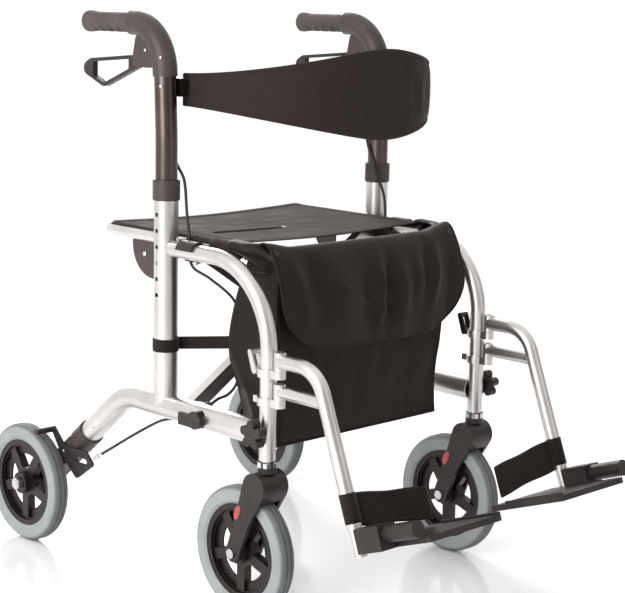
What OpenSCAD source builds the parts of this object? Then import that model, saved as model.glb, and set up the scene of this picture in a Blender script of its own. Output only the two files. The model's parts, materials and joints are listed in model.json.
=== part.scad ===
// Folding rollator that doubles as a transport chair.
// Right is -X, left is +X, the walking direction is -Y and +Z is up.
// Paired pieces are drawn for the left side and mirrored for the right.

/* [Side frames] */
// Half the distance between the two side frames, tube axis to tube axis
frame_x = 233; // [215:1:260]
// Outer diameter of the rear posts
post_d = 38; // [37:0.5:42]
// Bore of the rear posts
post_bore = 34.6; // [34.4:0.1:35.2]
// Place of the rear post axis along the walking direction
post_y = 57; // [50:1:65]
// Height of the top end of the rear posts
post_top = 628; // [610:1:650]
// Height of the highest adjusting hole
hole_top_z = 590.5; // [560:0.5:600]
// Distance between adjusting holes
hole_pitch = 25; // [20:1:25]
// Number of adjusting holes
hole_count = 6; // [4:1:6]
// Diameter of the adjusting holes
hole_d = 7; // [6:0.5:9]
// Hole that the spring button sits in, counted from the top
button_hole = 4; // [2:1:4]
// Outer diameter of the lower rails
rail_d = 38; // [34:0.5:40]
// Wall of the lower rails
rail_wall = 2; // [1.5:0.1:3]
// Height of the lower rails
rail_z = 288; // [275:1:300]
// Place where the rail axis turns down to the rear axle
rail_corner_y = 153; // [145:1:165]
// Slope of the rear part of the rails
rail_slope = 40; // [36:1:44]
// Bend radius of the rails
rail_bend_r = 100; // [80:1:120]
// Outer diameter of the front legs
leg_d = 25; // [22:0.5:28]
// Wall of the front legs
leg_wall = 1.8; // [1.5:0.1:2.5]
// Place of the front legs along the walking direction
leg_y = -181; // [-190:1:-170]
// Height of the upper rails
top_rail_z = 538.5; // [530:0.5:545]
// Bend radius from upper rail to front leg
leg_bend_r = 125; // [100:1:135]
// Height of the lower end of the front legs
leg_bottom_z = 250; // [245:1:256]

/* [Wheels] */
// Diameter of all four wheels
wheel_d = 200; // [190:1:206]
// Width of the tyres
tyre_w = 30; // [26:1:31]
// Diameter of the rims where they meet the tyres
rim_d = 148; // [140:1:152]
// Place of the rear wheels across
rear_wheel_x = 273; // [272:1:285]
// Distance of the castor axle behind its stem
castor_trail = 48; // [40:1:52]
// Diameter of the wheel axles
axle_d = 12; // [10:0.5:14]
// Diameter of the castor stems
stem_d = 12; // [10:0.5:14]
// Number of spokes in a rim
spokes = 5; // [4:1:7]

/* [Handles] */
// Outer diameter of the handle tubes
handle_d = 34; // [32:0.5:34]
// Height of the lower end of the handle tubes
handle_bottom = 470; // [430:1:480]
// Drop from the grips to where the handle tubes begin to lean back
lean_drop = 177; // [160:1:180]
// Lean of the upper handle tubes
handle_lean = 2.5; // [0:0.5:4]
// Height of the grips
grip_z = 879; // [870:1:900]
// Length of the grips
grip_len = 118; // [100:1:130]
// Diameter of the grips at the palm
grip_d = 31; // [26:0.5:34]
// Outer diameter of the brake housings
housing_d = 38; // [36:0.5:42]
// Bend radius of the brake housings
housing_r = 74; // [70:1:76]
// Thickness of the brake levers
lever_t = 10; // [8:0.5:12]

/* [Seat and cross brace] */
// Diameter of the seat tubes
seat_tube_d = 22; // [20:0.5:24]
// Height of the seat tubes
seat_tube_z = 546; // [544:0.5:550]
// Front end of the seat tubes
seat_front_y = -80; // [-82:1:-70]
// Rear end of the seat tubes
seat_rear_y = 236; // [210:1:245]
// Thickness of the seat sling
sling_t = 3; // [2:0.5:4]
// Clearance between a seat tube and its rear post
seat_gap = 1.5; // [1:0.1:4]
// Thickness of the brace bars along the walking direction
brace_t = 18; // [14:0.5:18]
// Depth of the brace bars
brace_h = 24; // [20:0.5:26]
// Diameter of the brace pivots
pivot_d = 10; // [8:0.5:12]

/* [Backrest] */
// Drop from the grips to the backrest pivots
back_drop = 95; // [90:1:100]
// Forward bow of the backrest band
back_bow = 232; // [200:1:250]
// Thickness of the band at its crown
back_t = 16; // [12:0.5:20]
// Height of the band at its ends
back_end_h = 47; // [45:1:60]
// Height of the band in the middle
back_mid_h = 137; // [120:1:160]

/* [Footrests] */
// Outer diameter of the hanger tubes
hanger_d = 22; // [20:0.5:25]
// Height of the upper hanger tube
hanger_z = 403; // [400:1:408]
// Slope of the hangers away from the vertical
hanger_slope = 21; // [18:0.5:24]
// Place where the hanger axis turns down
hanger_corner_y = -283; // [-290:1:-275]
// Height of the footplate hinge at the hanger
foot_z = 178; // [170:1:190]
// Rise of the footplates towards the toes
foot_tilt = 20; // [16:0.5:21]
// Length of a footplate along its hinge
plate_len = 141; // [120:1:145]
// Reach of a footplate from its hinge towards the middle
plate_reach = 163; // [130:1:170]
// Thickness of the footplates
plate_t = 9; // [7:0.5:11]

/* [Bag] */
// Half width of the bag
bag_x = 182; // [165:1:190]
// Height of the top edge of the bag
bag_top = 542; // [530:1:545]
// Height of the bottom of the bag
bag_bottom = 250; // [245:1:270]
// Wall of the bag and its flap
bag_wall = 3; // [2:0.5:4]
// Drop of the flap over the front
flap_drop = 146; // [120:1:160]
// Half width of the flap
flap_x = 200; // [185:1:205]

/* [Hidden] */
fine = 64;
gap = 0.3;
weld = 0.05;
run = 0.05;

wheel_r = wheel_d / 2;
rear_axle_y = rail_corner_y + (rail_z - wheel_r) / tan(rail_slope);
front_axle_y = leg_y + castor_trail;
seat_x = frame_x - post_d / 2 - seat_tube_d / 2 - seat_gap;
brace_front_y = 28.5;
brace_rear_y = brace_front_y + brace_t + 4.5;
brace_angle = atan2(seat_tube_z - rail_z, 2 * seat_x);
brace_len = norm([2 * seat_x, seat_tube_z - rail_z]);
brace_mid_z = (seat_tube_z + rail_z) / 2;

// The footplate hinge starts on the hanger axis and rises towards the toes
foot_y = hanger_corner_y - (hanger_z - foot_z) * tan(hanger_slope);
foot_pin_r = 6;
plate_edge = 14;
foot_knob_r = 12.5;
plate_back = 15;
plate_low = foot_knob_r + plate_t;
foot_start = hanger_d / 2 + 3;
foot_end = plate_len - plate_back - 4;
front_y = foot_y - (plate_len - plate_back) * cos(foot_tilt) - plate_low * sin(foot_tilt);
rear_y = rear_axle_y + wheel_r;
shift_y = -(front_y + rear_y) / 2;

// The hangers swing about a vertical pin in front of each leg
swing_y = leg_y - leg_d / 2 - 11.5;
lug_upper_z = hanger_z - 26;
lug_lower_z = hanger_z - 69;
lug_h = 12;
eye_d = 18;
swing_pin_d = 8;
stub_z = lug_lower_z + lug_h + 12;

housing_bottom = grip_z - housing_r * (1 - sin(handle_lean)) - 8;
lean_z = grip_z - lean_drop;
lean_r = 300;
lean_end = [post_y + lean_r * (1 - cos(handle_lean)), lean_z + lean_r * sin(handle_lean)];
handle_top_y = lean_end[0] + (housing_bottom - lean_end[1]) * tan(handle_lean);
elbow_start = [handle_top_y + 8 * tan(handle_lean), housing_bottom + 8];
elbow_centre = elbow_start + housing_r * [cos(handle_lean), -sin(handle_lean)];
grip_y = elbow_centre[0];
lever_y = grip_y - 16;
lever_z = grip_z - 57;

brake_pivot = [rear_axle_y - 78, wheel_r + 67];
shoe_at = [rear_axle_y - 50, wheel_r + 99];
shoe_d = 10;
cable_hook = [rear_axle_y - 115, wheel_r + 35];
loop_tip = [rear_axle_y - 153, wheel_r + 60];
loop_top = [rear_axle_y - 139, wheel_r + 74];
arm_t = 4;
arm_x = frame_x + rail_d / 2 + 0.8;

cable_d = 4.6;
cable_top = [frame_x - 15.6, handle_top_y + 13, housing_bottom - 3];
cable_end = [arm_x - cable_d / 2 - 2 * gap, brake_pivot[0] - 76.5, brake_pivot[1] + 1.3];
// Route of a brake cable from the lever housing down to the brake arm
cable_route = [
    cable_top, [cable_top[0], cable_top[1], (cable_top[2] + 643) / 2], [213.5, 66, 690],
    [210, 54, 664], [209.5, 45, 647], [211, 38, 630], [215, 31, 610], [218, 25, 590],
    [217.2, 20.5, 559], [216.8, 20.5, 532], [212, 14, 508],
    [202, -16, 496], [180, -42, 468], [160, -34, 432], [148, -27, 392], [150, -26, 350],
    [158, -23, 322], [170, -19, 310], [195, -16, 306], [209, -13, 297], [209.5, -12, 282],
    [208, -9, 271], [206, 2, 267.5], [205, 30, 265], [205, 66, 259.5], [206, 97, 251.4],
    [210, 125, 237], [220, 164.4, 212], [236, 197, 187.6],
    cable_end];
cable_steps = 4;

back_end_x = seat_x - 2;
back_y = post_y - 6;
back_z = grip_z - back_drop;
back_stations = 40;
back_ring = 14;

slit_len = 140;
slit_w = 9;
slit_y = 38;
slit_x = -80;

$fn = fine;

// Puts a piece drawn for the left side on side 1 (left) or -1 (right)
module on_side(side) {
    translate([0, shift_y, 0]) mirror([side < 0 ? 1 : 0, 0, 0]) children();
}

// Turns a drawing in the (y, z) plane of a side frame upright, with its depth along X
module upright(x = frame_x) {
    translate([x, 0, 0]) rotate([90, 0, 90]) children();
}

// Straight round bar between two points of the side plane
module bar(from, to, d) {
    translate([from[0], from[1], 0])
        rotate([0, 90, atan2(to[1] - from[1], to[0] - from[0])])
            cylinder(h = norm(to - from), d = d);
}

// Round bar bent about a centre in the side plane
module bend(centre, r, d, start, turn) {
    translate([centre[0], centre[1], 0]) rotate([0, 0, start])
        rotate_extrude(angle = turn) translate([r, 0]) circle(d = d);
}

// Cylinder along X, centred on a point of the side plane
module cross_pin(at, d, from, to) {
    translate([from, at[0], at[1]]) rotate([0, 90, 0]) cylinder(h = to - from, d = d);
}

// Straight bar along Y
module along_y(x, z, d, from, to) {
    translate([x, from, z]) rotate([-90, 0, 0]) cylinder(h = to - from, d = d);
}

function rail_point(s) = [rail_corner_y + s * cos(rail_slope), rail_z - s * sin(rail_slope)];
rail_turn = rail_bend_r * tan(rail_slope / 2);
rail_end = 150;
bead = 0.2;
sleeve_from = 127;
sleeve_to = 163;
axle_run = norm([rear_axle_y - rail_corner_y, rail_z - wheel_r]);

// Path of a lower rail as a solid bar of the given diameter
module rail_path(d, extra = 0) {
    bar([leg_y - extra, rail_z], [rail_corner_y - rail_turn, rail_z], d);
    bend([rail_corner_y - rail_turn, rail_z - rail_bend_r], rail_bend_r, d, 90 - rail_slope,
        rail_slope);
    bar(rail_point(rail_turn), rail_point(rail_end + extra), d);
    bar([rail_corner_y - rail_turn - 1, rail_z], [rail_corner_y - rail_turn + 1, rail_z], d + bead);
    bar(rail_point(rail_turn - 1), rail_point(rail_turn + 1), d + bead);
}

// Path of an upper rail and front leg as a solid bar
module leg_path(d, extra = 0) {
    bar([leg_y + leg_bend_r, top_rail_z], [post_y, top_rail_z], d);
    bend([leg_y + leg_bend_r, top_rail_z - leg_bend_r], leg_bend_r, d, 90, 90);
    bar([leg_y, leg_bottom_z - extra], [leg_y, top_rail_z - leg_bend_r], d);
}

module rear_post(side) {
    on_side(side) color("silver") difference() {
        translate([frame_x, post_y, rail_z]) cylinder(h = post_top - rail_z, d = post_d);
        translate([frame_x, post_y, rail_z - 1])
            cylinder(h = post_top - rail_z + 2, d = post_bore);
        along_y(frame_x, rail_z, rail_d + 2 * weld, post_y - post_d, post_y + post_d);
        for (i = [0 : hole_count - 1])
            cross_pin([post_y, hole_top_z - i * hole_pitch], hole_d, frame_x,
                frame_x + post_d);
    }
}

lug_t = 5;
pivot_tube_d = 20;
pivot_tube_l = 56;

// Two ears and the pin that a cross brace turns on
module brace_ears(y) {
    difference() {
        for (end = [-1, 1])
            translate([seat_x - pivot_tube_d / 2,
                y - lug_t / 2 + end * (pivot_tube_l / 2 + lug_t / 2 + gap),
                rail_z - pivot_tube_d / 2])
                cube([frame_x - rail_d / 2 + 4 - seat_x + pivot_tube_d / 2, lug_t, pivot_tube_d]);
        translate([frame_x, post_y, rail_z]) cylinder(h = pivot_tube_d, d = post_d + 2 * gap);
    }
    along_y(seat_x, rail_z, pivot_d, y - pivot_tube_l / 2 - lug_t, y + pivot_tube_l / 2 + lug_t);
}

module lower_rail(side) {
    y = side < 0 ? brace_front_y : brace_rear_y;
    on_side(side) color("silver") difference() {
        union() {
            upright() rail_path(rail_d);
            brace_ears(y);
        }
        upright() rail_path(rail_d - 2 * rail_wall, 1);
        upright() bar([leg_y, rail_z - rail_d], [leg_y, rail_z + rail_d], leg_d + 2 * weld);
        translate([frame_x - rail_d, leg_y - rail_d, rail_z - rail_d])
            cube([2 * rail_d, rail_d + knob_clear, 2 * rail_d]);
    }
}

knob_z = rail_z + 6;
knob_stem_d = 8;
knob_clear = 7;
plug_l = 62;

// Ring on the leg with a lug in front and the pin that a hanger drops onto
module swing_lug(z) {
    difference() {
        union() {
            translate([frame_x, leg_y, z]) cylinder(h = lug_h, d = leg_d + 8);
            translate([frame_x - eye_d / 2, swing_y, z]) cube([eye_d, leg_y - swing_y, lug_h]);
            translate([frame_x, swing_y, z]) cylinder(h = lug_h, d = eye_d);
            translate([frame_x - 5, leg_y, z + 1]) cube([10, leg_d / 2 + 15, lug_h - 2]);
        }
        translate([frame_x, leg_y, z - 1]) cylinder(h = lug_h + 2, d = leg_d);
    }
    translate([frame_x, swing_y, z + lug_h / 2]) cylinder(h = lug_h / 2 + 19, d = swing_pin_d);
}

module front_leg(side) {
    on_side(side) color("silver") difference() {
        union() {
            difference() {
                upright() leg_path(leg_d);
                upright() leg_path(leg_d - 2 * leg_wall, 1);
            }
            translate([frame_x, leg_y, leg_bottom_z]) cylinder(h = plug_l, d = leg_d - 1);
            swing_lug(lug_upper_z);
            swing_lug(lug_lower_z);
        }
        translate([frame_x, post_y, top_rail_z - leg_d])
            cylinder(h = 2 * leg_d, d = post_d + 2 * weld);
        translate([frame_x, leg_y, leg_bottom_z - 1])
            cylinder(h = plug_l + 2, d = stem_d + 2 * run);
        cross_pin([leg_y, knob_z], knob_stem_d + 2 * run, frame_x + stem_d / 2 + 1, frame_x + leg_d);
        cross_pin(latch_at, latch_pin_d + 2 * run, frame_x - 12, frame_x + 12);
    }
}

collar_d = 42.5;
collar_h = 32;

module post_collar(side) {
    on_side(side) color("dimgray") translate([frame_x, post_y, post_top - collar_h / 2])
        difference() {
            union() {
                translate([0, 0, 1.5]) cylinder(h = collar_h - 3, d = collar_d);
                cylinder(h = collar_h, d = collar_d - 2);
            }
            translate([0, 0, -1]) cylinder(h = collar_h / 2 + 1, d = post_d + 2 * weld);
            cylinder(h = collar_h + 1, d = handle_d + 2 * gap);
            translate([-post_d - post_d / 2 - 0.9, -post_d, -1]) cube([post_d, 2 * post_d, collar_h + 2]);
        }
}

block_w = 36;

// Sleeve over the rail end and the block that carries the rear axle
module axle_block(side) {
    sleeve_d = rail_d + 6;
    on_side(side) color("dimgray") upright() difference() {
        union() {
            bar(rail_point(sleeve_from), rail_point(sleeve_to), sleeve_d);
            bar(rail_point(sleeve_to - 4), rail_point(sleeve_to + 6), rail_d);
            translate(concat(rail_point(sleeve_to + 4), 0)) rotate([0, 0, -rail_slope])
                translate([0, -15, 1 - block_w / 2])
                    cube([axle_run - sleeve_to - 4, 30, block_w - 2]);
            translate([rear_axle_y, wheel_r, -block_w / 2]) cylinder(h = block_w, d = 40);
        }
        bar(rail_point(sleeve_from - 1), rail_point(rail_end + weld), rail_d + 2 * weld);
        translate([rear_axle_y, wheel_r, -block_w]) cylinder(h = 2 * block_w, d = axle_d + 2 * run);
        translate([brake_pivot[0], brake_pivot[1], 0]) cylinder(h = block_w, d = 8 + 2 * run);
        translate(concat(rail_point(rail_end + 1), arm_x - frame_x - 2 * gap))
            rotate([0, 0, -rail_slope]) translate([0, -sleeve_d, 0])
                cube([2 * sleeve_d, 2 * sleeve_d, sleeve_d]);
    }
}

hub_w = 36;

module rear_axle(side) {
    inner = frame_x - block_w / 2 - 8;
    nut = rear_wheel_x + hub_w / 2 + 1;
    on_side(side) color("lightgray") {
        cross_pin([rear_axle_y, wheel_r], axle_d, inner, nut + 9);
        translate([inner, rear_axle_y, wheel_r]) rotate([0, 90, 0])
            cylinder(h = 8 - gap, d = 22, $fn = 6);
        translate([nut, rear_axle_y, wheel_r]) rotate([0, 90, 0]) cylinder(h = 8, d = 22, $fn = 6);
    }
}

cradle_y = [-20, 16];
cradle_top = seat_tube_z + 2;

// Block on the upper rail with an open channel for the seat tube
module seat_cradle(side) {
    inner = seat_x - seat_tube_d / 2 - 5;
    on_side(side) color("black") difference() {
        union() {
            translate([inner, cradle_y[0], top_rail_z - leg_d / 2 - 3])
                cube([frame_x - inner, cradle_y[1] - cradle_y[0],
                    cradle_top - top_rail_z + leg_d / 2 + 3]);
            along_y(frame_x, top_rail_z, leg_d + 8, cradle_y[0], cradle_y[1]);
        }
        along_y(frame_x, top_rail_z, leg_d + 2 * weld, cradle_y[0] - 1, cradle_y[1] + 1);
        translate([frame_x - 3, cradle_y[0] - 1, top_rail_z - leg_d])
            cube([leg_d, cradle_y[1] - cradle_y[0] + 2, leg_d + 3]);
        along_y(seat_x, seat_tube_z, seat_tube_d + 2 * gap, cradle_y[0] - 1, cradle_y[1] + 1);
        translate([seat_x - seat_tube_d / 2 - gap, cradle_y[0] - 1, seat_tube_z])
            cube([seat_tube_d + 2 * gap, cradle_y[1] - cradle_y[0] + 2, seat_tube_d]);
    }
}

// Rings of points square to a route, swept into one closed tube
function unit(v) = v / norm(v);
function heading(p, i) =
    unit(p[min(i + 1, len(p) - 1)] - p[max(i - 1, 0)]);
function ring_at(c, dir, r, n) =
    let (a = unit(cross(dir, [0.3, 1, 0.2])), b = cross(dir, a))
    [for (k = [0 : n - 1]) c + r * (cos(360 * k / n) * a + sin(360 * k / n) * b)];

// Closed skin over a list of rings that all have n points
module skin(rings, n) {
    m = len(rings);
    points = [for (ring = rings) each ring];
    sides = [for (i = [0 : m - 2], k = [0 : n - 1]) each [
        [i * n + k, (i + 1) * n + k, i * n + (k + 1) % n],
        [i * n + (k + 1) % n, (i + 1) * n + k, (i + 1) * n + (k + 1) % n]]];
    first = [for (k = [1 : n - 2]) [0, k, k + 1]];
    last = [for (k = [1 : n - 2]) [(m - 1) * n, (m - 1) * n + k + 1, (m - 1) * n + k]];
    polyhedron(points = points, faces = concat(sides, first, last), convexity = 6);
}

// Smooth curve through the points of a route
function curve_at(p, i, t) =
    let (a = p[max(i - 1, 0)], b = p[i], c = p[i + 1], d = p[min(i + 2, len(p) - 1)])
    0.5 * (2 * b + (c - a) * t + (2 * a - 5 * b + 4 * c - d) * t * t
        + (3 * b - a - 3 * c + d) * t * t * t);
function smooth(p, n) = concat(
    [for (i = [0 : len(p) - 2], k = [0 : n - 1]) curve_at(p, i, k / n)], [p[len(p) - 1]]);

module brake_cable(side) {
    path = smooth(cable_route, cable_steps);
    on_side(side) color("black")
        skin([for (i = [0 : len(path) - 1])
            ring_at(path[i], heading(path, i), cable_d / 2, 8)], 8);
}

clip_y = [-62, -4];

// Small clip on the outer face of the rail: a block and a round boss
module rail_clip() {
    boss = clip_y[0] + 16;
    on_side(-1) color("black") difference() {
        union() {
            translate([frame_x + 8, boss, rail_z - 14])
                cube([rail_d / 2 - 2, clip_y[1] - boss, 19]);
            translate([frame_x + 8, boss, rail_z]) rotate([0, 90, 0])
                cylinder(h = rail_d / 2 + 2, d = 28);
        }
        along_y(frame_x, rail_z, rail_d + 2 * weld, clip_y[0] - 1, clip_y[1] + 1);
    }
}

handle_wall = 1.8;
back_pin_d = 8;
back_lug_h = 28;

// Handle tube with the lug that the backrest turns on
module handle_tube(side) {
    lug_x = frame_x - handle_d / 2 - 9;
    on_side(side) color("black") {
        difference() {
            union() {
                translate([frame_x, post_y, handle_bottom])
                    cylinder(h = lean_z - handle_bottom, d = handle_d);
                upright() {
                    bend([post_y + lean_r, lean_z], lean_r, handle_d, 180 - handle_lean, handle_lean);
                    bar(lean_end, [handle_top_y, housing_bottom], handle_d);
                    bar([post_y, lean_z - 1], [post_y, lean_z + 1], handle_d + bead);
                    translate([lean_end[0], lean_end[1], 0]) rotate([0, 90, 90 - handle_lean])
                        cylinder(h = 2, d = handle_d + bead, center = true);
                }
                translate([lug_x, back_y - 9, back_z - back_lug_h / 2])
                    cube([frame_x - handle_d / 2 - lug_x + 3, 18, back_lug_h]);
            }
            translate([frame_x, post_y, handle_bottom - 1])
                cylinder(h = lean_z - handle_bottom - 4, d = handle_d - 2 * handle_wall);
            cross_pin([post_y, hole_top_z - (button_hole - 1) * hole_pitch], button_d + 2 * run,
                frame_x, frame_x + handle_d);
        }
        cross_pin([back_y, back_z], back_pin_d, back_end_x - 5, lug_x + 1);
    }
}

button_d = 6;

module height_button(side) {
    z = hole_top_z - (button_hole - 1) * hole_pitch;
    on_side(side) color("gray") {
        cross_pin([post_y, z], button_d, frame_x + handle_d / 2 - 10, frame_x + handle_d / 2);
        cross_pin([post_y, z], button_d + 4, frame_x + handle_d / 2 - 10,
            frame_x + handle_d / 2 - handle_wall - 2);
    }
}

cheek_t = 5;

// Elbow that carries the grip, with two cheeks for the brake lever
module brake_housing(side) {
    w = lever_t + 2 * cheek_t + 2 * gap;
    on_side(side) color("dimgray") {
        difference() {
            union() {
                upright() bar([handle_top_y, housing_bottom], elbow_start, housing_d);
                upright() bend(elbow_centre, housing_r, housing_d, 90, 90 - handle_lean);
                upright() translate([elbow_start[0], elbow_start[1], 0])
                    rotate([0, 90, 90 - handle_lean])
                        cylinder(h = 2, d = housing_d + bead, center = true);
                upright() translate([0, 0, -w / 2]) linear_extrude(w) hull() {
                    translate([lever_y, lever_z]) circle(d = 20);
                    translate([grip_y - 48, grip_z - 52]) circle(d = 30);
                    translate([grip_y - 22, grip_z - 26]) circle(d = 18);
                }
                translate([cable_route[0][0], cable_route[0][1], cable_route[0][2] + weld])
                    cylinder(h = 18, d = 6);
            }
            upright() translate([0, 0, -lever_t / 2 - gap]) linear_extrude(lever_t + 2 * gap)
                translate([lever_y, lever_z]) {
                    circle(d = 24);
                    translate([0, -14]) square([30, 28]);
                    translate([-12, -30]) square([40, 30]);
                }
        }
        cross_pin([lever_y, lever_z], 6, frame_x - w / 2 + 1, frame_x + w / 2 - 1);
    }
}

// Outline of a brake lever loop in the side plane
module lever_outline() {
    hull() {
        translate([lever_y, lever_z]) circle(d = 18);
        translate([lever_y + 122, lever_z - 10]) circle(d = 18);
        translate([lever_y + 131, lever_z - 17]) circle(d = 22);
        translate([lever_y + 90, lever_z - 34]) circle(d = 20);
    }
}

module brake_lever(side) {
    on_side(side) color("black") upright() translate([0, 0, -lever_t / 2]) difference() {
        linear_extrude(lever_t) difference() {
            lever_outline();
            intersection() {
                offset(r = -5.5) lever_outline();
                translate([lever_y + 26, lever_z - 60]) square([92, 80]);
            }
        }
        translate([lever_y, lever_z, -1]) cylinder(h = lever_t + 2, d = 6 + 2 * run);
    }
}

// Round bar turned from a list of (radius, place along the grip)
module grip(side) {
    r = grip_d / 2;
    on_side(side) color("dimgray") translate([frame_x, grip_y + 0.2, grip_z]) rotate([-90, 0, 0])
        difference() {
            rotate_extrude() polygon([[0, 0], [r + 3.5, 0], [r + 3.5, 4], [r - 1.5, 5.5],
                [r - 1.5, 10], [r - 0.4, 22], [r - 0.4, 92], [r + 1.4, grip_len - 9],
                [r + 1.4, grip_len - 3], [r - 1, grip_len], [0, grip_len]]);
            for (i = [0 : 3])
                translate([0, -2.6, 28 + 20 * i]) rotate_extrude()
                    translate([r + 5, 0]) circle(r = 5.2, $fn = 24);
        }
}

// Crank that presses a cross bar on the rear tyre when its cable is pulled
module brake_arm(side) {
    on_side(side) color("black") {
        upright(arm_x) {
            linear_extrude(arm_t) hull() {
                translate(brake_pivot) circle(d = 18);
                translate(shoe_at) circle(d = shoe_d);
            }
            linear_extrude(arm_t) difference() {
                hull() {
                    translate(brake_pivot) circle(d = 18);
                    translate(cable_hook) circle(d = 14);
                    translate(loop_tip) circle(d = 12);
                    translate(loop_top) circle(d = 10);
                }
                hull() {
                    translate((2 * brake_pivot + 3 * cable_hook + 5 * loop_top) / 10) circle(d = 11);
                    translate((cable_hook + 2 * loop_tip + 2 * loop_top) / 5) circle(d = 9);
                }
            }
        }
        cross_pin(shoe_at, shoe_d, arm_x, rear_wheel_x + tyre_w / 2 + 3);
        cross_pin(brake_pivot, 8, arm_x - 12, arm_x + arm_t);
    }
}

fork_gap = 38;
fork_w = 50;
crown_z = 234;

module castor_fork(side) {
    axle = [front_axle_y, wheel_r];
    crown = [leg_y + 3, crown_z - 24];
    knee = [front_axle_y - 20, wheel_r + 54];
    on_side(side) color("black") {
        difference() {
            upright() translate([0, 0, -fork_w / 2]) linear_extrude(fork_w) union() {
                hull() {
                    translate(crown) circle(d = 46);
                    translate(knee) circle(d = 30);
                }
                hull() {
                    translate(knee) circle(d = 30);
                    translate(axle) circle(d = 28);
                }
            }
            cross_pin(axle, wheel_d + 10, frame_x - fork_gap / 2, frame_x + fork_gap / 2);
            cross_pin(axle, 8 + 2 * run, frame_x - fork_w, frame_x + fork_w);
            translate([frame_x - fork_w, leg_y - 60, crown_z])
                cube([2 * fork_w, 120, 60]);
        }
        translate([frame_x, leg_y, crown_z - 2]) cylinder(h = leg_bottom_z - 0.5 - crown_z + 2, d = 29);
        translate([frame_x, leg_y, crown_z - 2])
            cylinder(h = leg_bottom_z + plug_l - 4 - crown_z, d = stem_d);
    }
}

castor_hub_w = 34;

module castor_axle(side) {
    on_side(side) color("lightgray") {
        cross_pin([front_axle_y, wheel_r], 8, frame_x - fork_w / 2 - 5, frame_x + fork_w / 2 + 5);
        cross_pin([front_axle_y, wheel_r], axle_d, frame_x - castor_hub_w / 2 - 1,
            frame_x + castor_hub_w / 2 + 1);
        for (end = [-1, 1])
            translate([frame_x + end * (fork_w / 2 + 2.5 + weld), front_axle_y, wheel_r])
                rotate([0, 90, 0]) cylinder(h = 5, d = 15, center = true);
    }
}

// Tyre turned about its axle along X, with two grooves in the tread
module tyre(x, y) {
    seat_r = rim_d / 2;
    h = tyre_w / 2;
    translate([x, y, wheel_r]) rotate([0, 90, 0]) difference() {
        rotate_extrude() polygon([[seat_r, -h + 3], [seat_r + 4, -h], [wheel_r - 9, -h],
            [wheel_r - 4, -h + 2], [wheel_r - 1, -h + 6], [wheel_r, -h + 10], [wheel_r, h - 10],
            [wheel_r - 1, h - 6], [wheel_r - 4, h - 2], [wheel_r - 9, h], [seat_r + 4, h],
            [seat_r, h - 3]]);
        for (z = [-4, 4])
            translate([0, 0, z - 0.8]) difference() {
                cylinder(h = 1.6, r = wheel_r + 1);
                translate([0, 0, -1]) cylinder(h = 4, r = wheel_r - 1.5);
            }
    }
}

module front_tyre(side) {
    on_side(side) color("lightsteelblue") tyre(frame_x, front_axle_y);
}

module rear_tyre(side) {
    on_side(side) color("lightsteelblue") tyre(rear_wheel_x, rear_axle_y);
}

module front_rim(side) {
    on_side(side) color("black") rim(frame_x, front_axle_y, castor_hub_w);
}

module rear_rim(side) {
    on_side(side) color("black") rim(rear_wheel_x, rear_axle_y, hub_w);
}

// Rim with a hub, spokes and windows, turned about its axle along X
module rim(x, y, hub) {
    seat_r = rim_d / 2 - weld;
    translate([x, y, wheel_r]) rotate([0, 90, 0]) difference() {
        union() {
            translate([0, 0, -tyre_w / 2 + 4]) difference() {
                cylinder(h = tyre_w - 8, r = seat_r);
                translate([0, 0, -1]) cylinder(h = tyre_w, r = seat_r - 9);
            }
            translate([0, 0, -7]) linear_extrude(14) difference() {
                circle(r = seat_r - 5);
                difference() {
                    circle(r = seat_r - 12);
                    circle(r = 25);
                    for (i = [0 : spokes - 1])
                        rotate([0, 0, i * 360 / spokes]) translate([0, -8.5]) square([seat_r, 17]);
                }
            }
            translate([0, 0, -hub / 2]) cylinder(h = hub, r = 18);
        }
        translate([0, 0, -hub]) cylinder(h = 2 * hub, d = axle_d + 2 * run);
    }
}

hanger_turn = 90 - hanger_slope;
hanger_bend_r = 50;
hanger_dir = [-sin(hanger_slope), -cos(hanger_slope)];
hanger_corner = [hanger_corner_y, hanger_z];
hanger_tan = hanger_bend_r * tan(hanger_turn / 2);
foot_at = [foot_y, foot_z];
foot_dir = [-cos(foot_tilt), sin(foot_tilt)];

module footrest_hanger(side) {
    tube_end = foot_at - 12 * hanger_dir;
    stub_y = hanger_corner_y - (hanger_z - stub_z) * tan(hanger_slope);
    on_side(side) color("silver") difference() {
        union() {
            upright() {
                bar([swing_y, hanger_z], [hanger_corner_y + hanger_tan, hanger_z], hanger_d);
                bend([hanger_corner_y + hanger_tan, hanger_z - hanger_bend_r], hanger_bend_r,
                    hanger_d, 90, hanger_turn);
                bar(hanger_corner + hanger_tan * hanger_dir, tube_end, hanger_d);
                bar(tube_end, foot_at + 27 * hanger_dir, hanger_d - 4);
                bar([swing_y, stub_z], [stub_y, stub_z], hanger_d - 3);
                bar(foot_at, foot_at + (foot_end - 6) * foot_dir, 2 * foot_pin_r);
            }
            translate([frame_x, swing_y, lug_upper_z + lug_h + gap])
                cylinder(h = 2 * (hanger_z - lug_upper_z - lug_h - gap), d = eye_d);
            translate([frame_x, swing_y, lug_lower_z + lug_h + gap])
                cylinder(h = 2 * (stub_z - lug_lower_z - lug_h - gap), d = eye_d);
        }
        translate([frame_x, swing_y, lug_upper_z]) cylinder(h = 40, d = swing_pin_d + 2 * run);
        translate([frame_x, swing_y, lug_lower_z]) cylinder(h = 40, d = swing_pin_d + 2 * run);
    }
}

// Places a drawing at the footplate hinge: X across, Y along the hinge, Z square to the plate
module at_foot() {
    translate([frame_x, foot_y, foot_z]) rotate([180 - foot_tilt, 0, 0]) mirror([0, 0, 1]) children();
}

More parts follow.
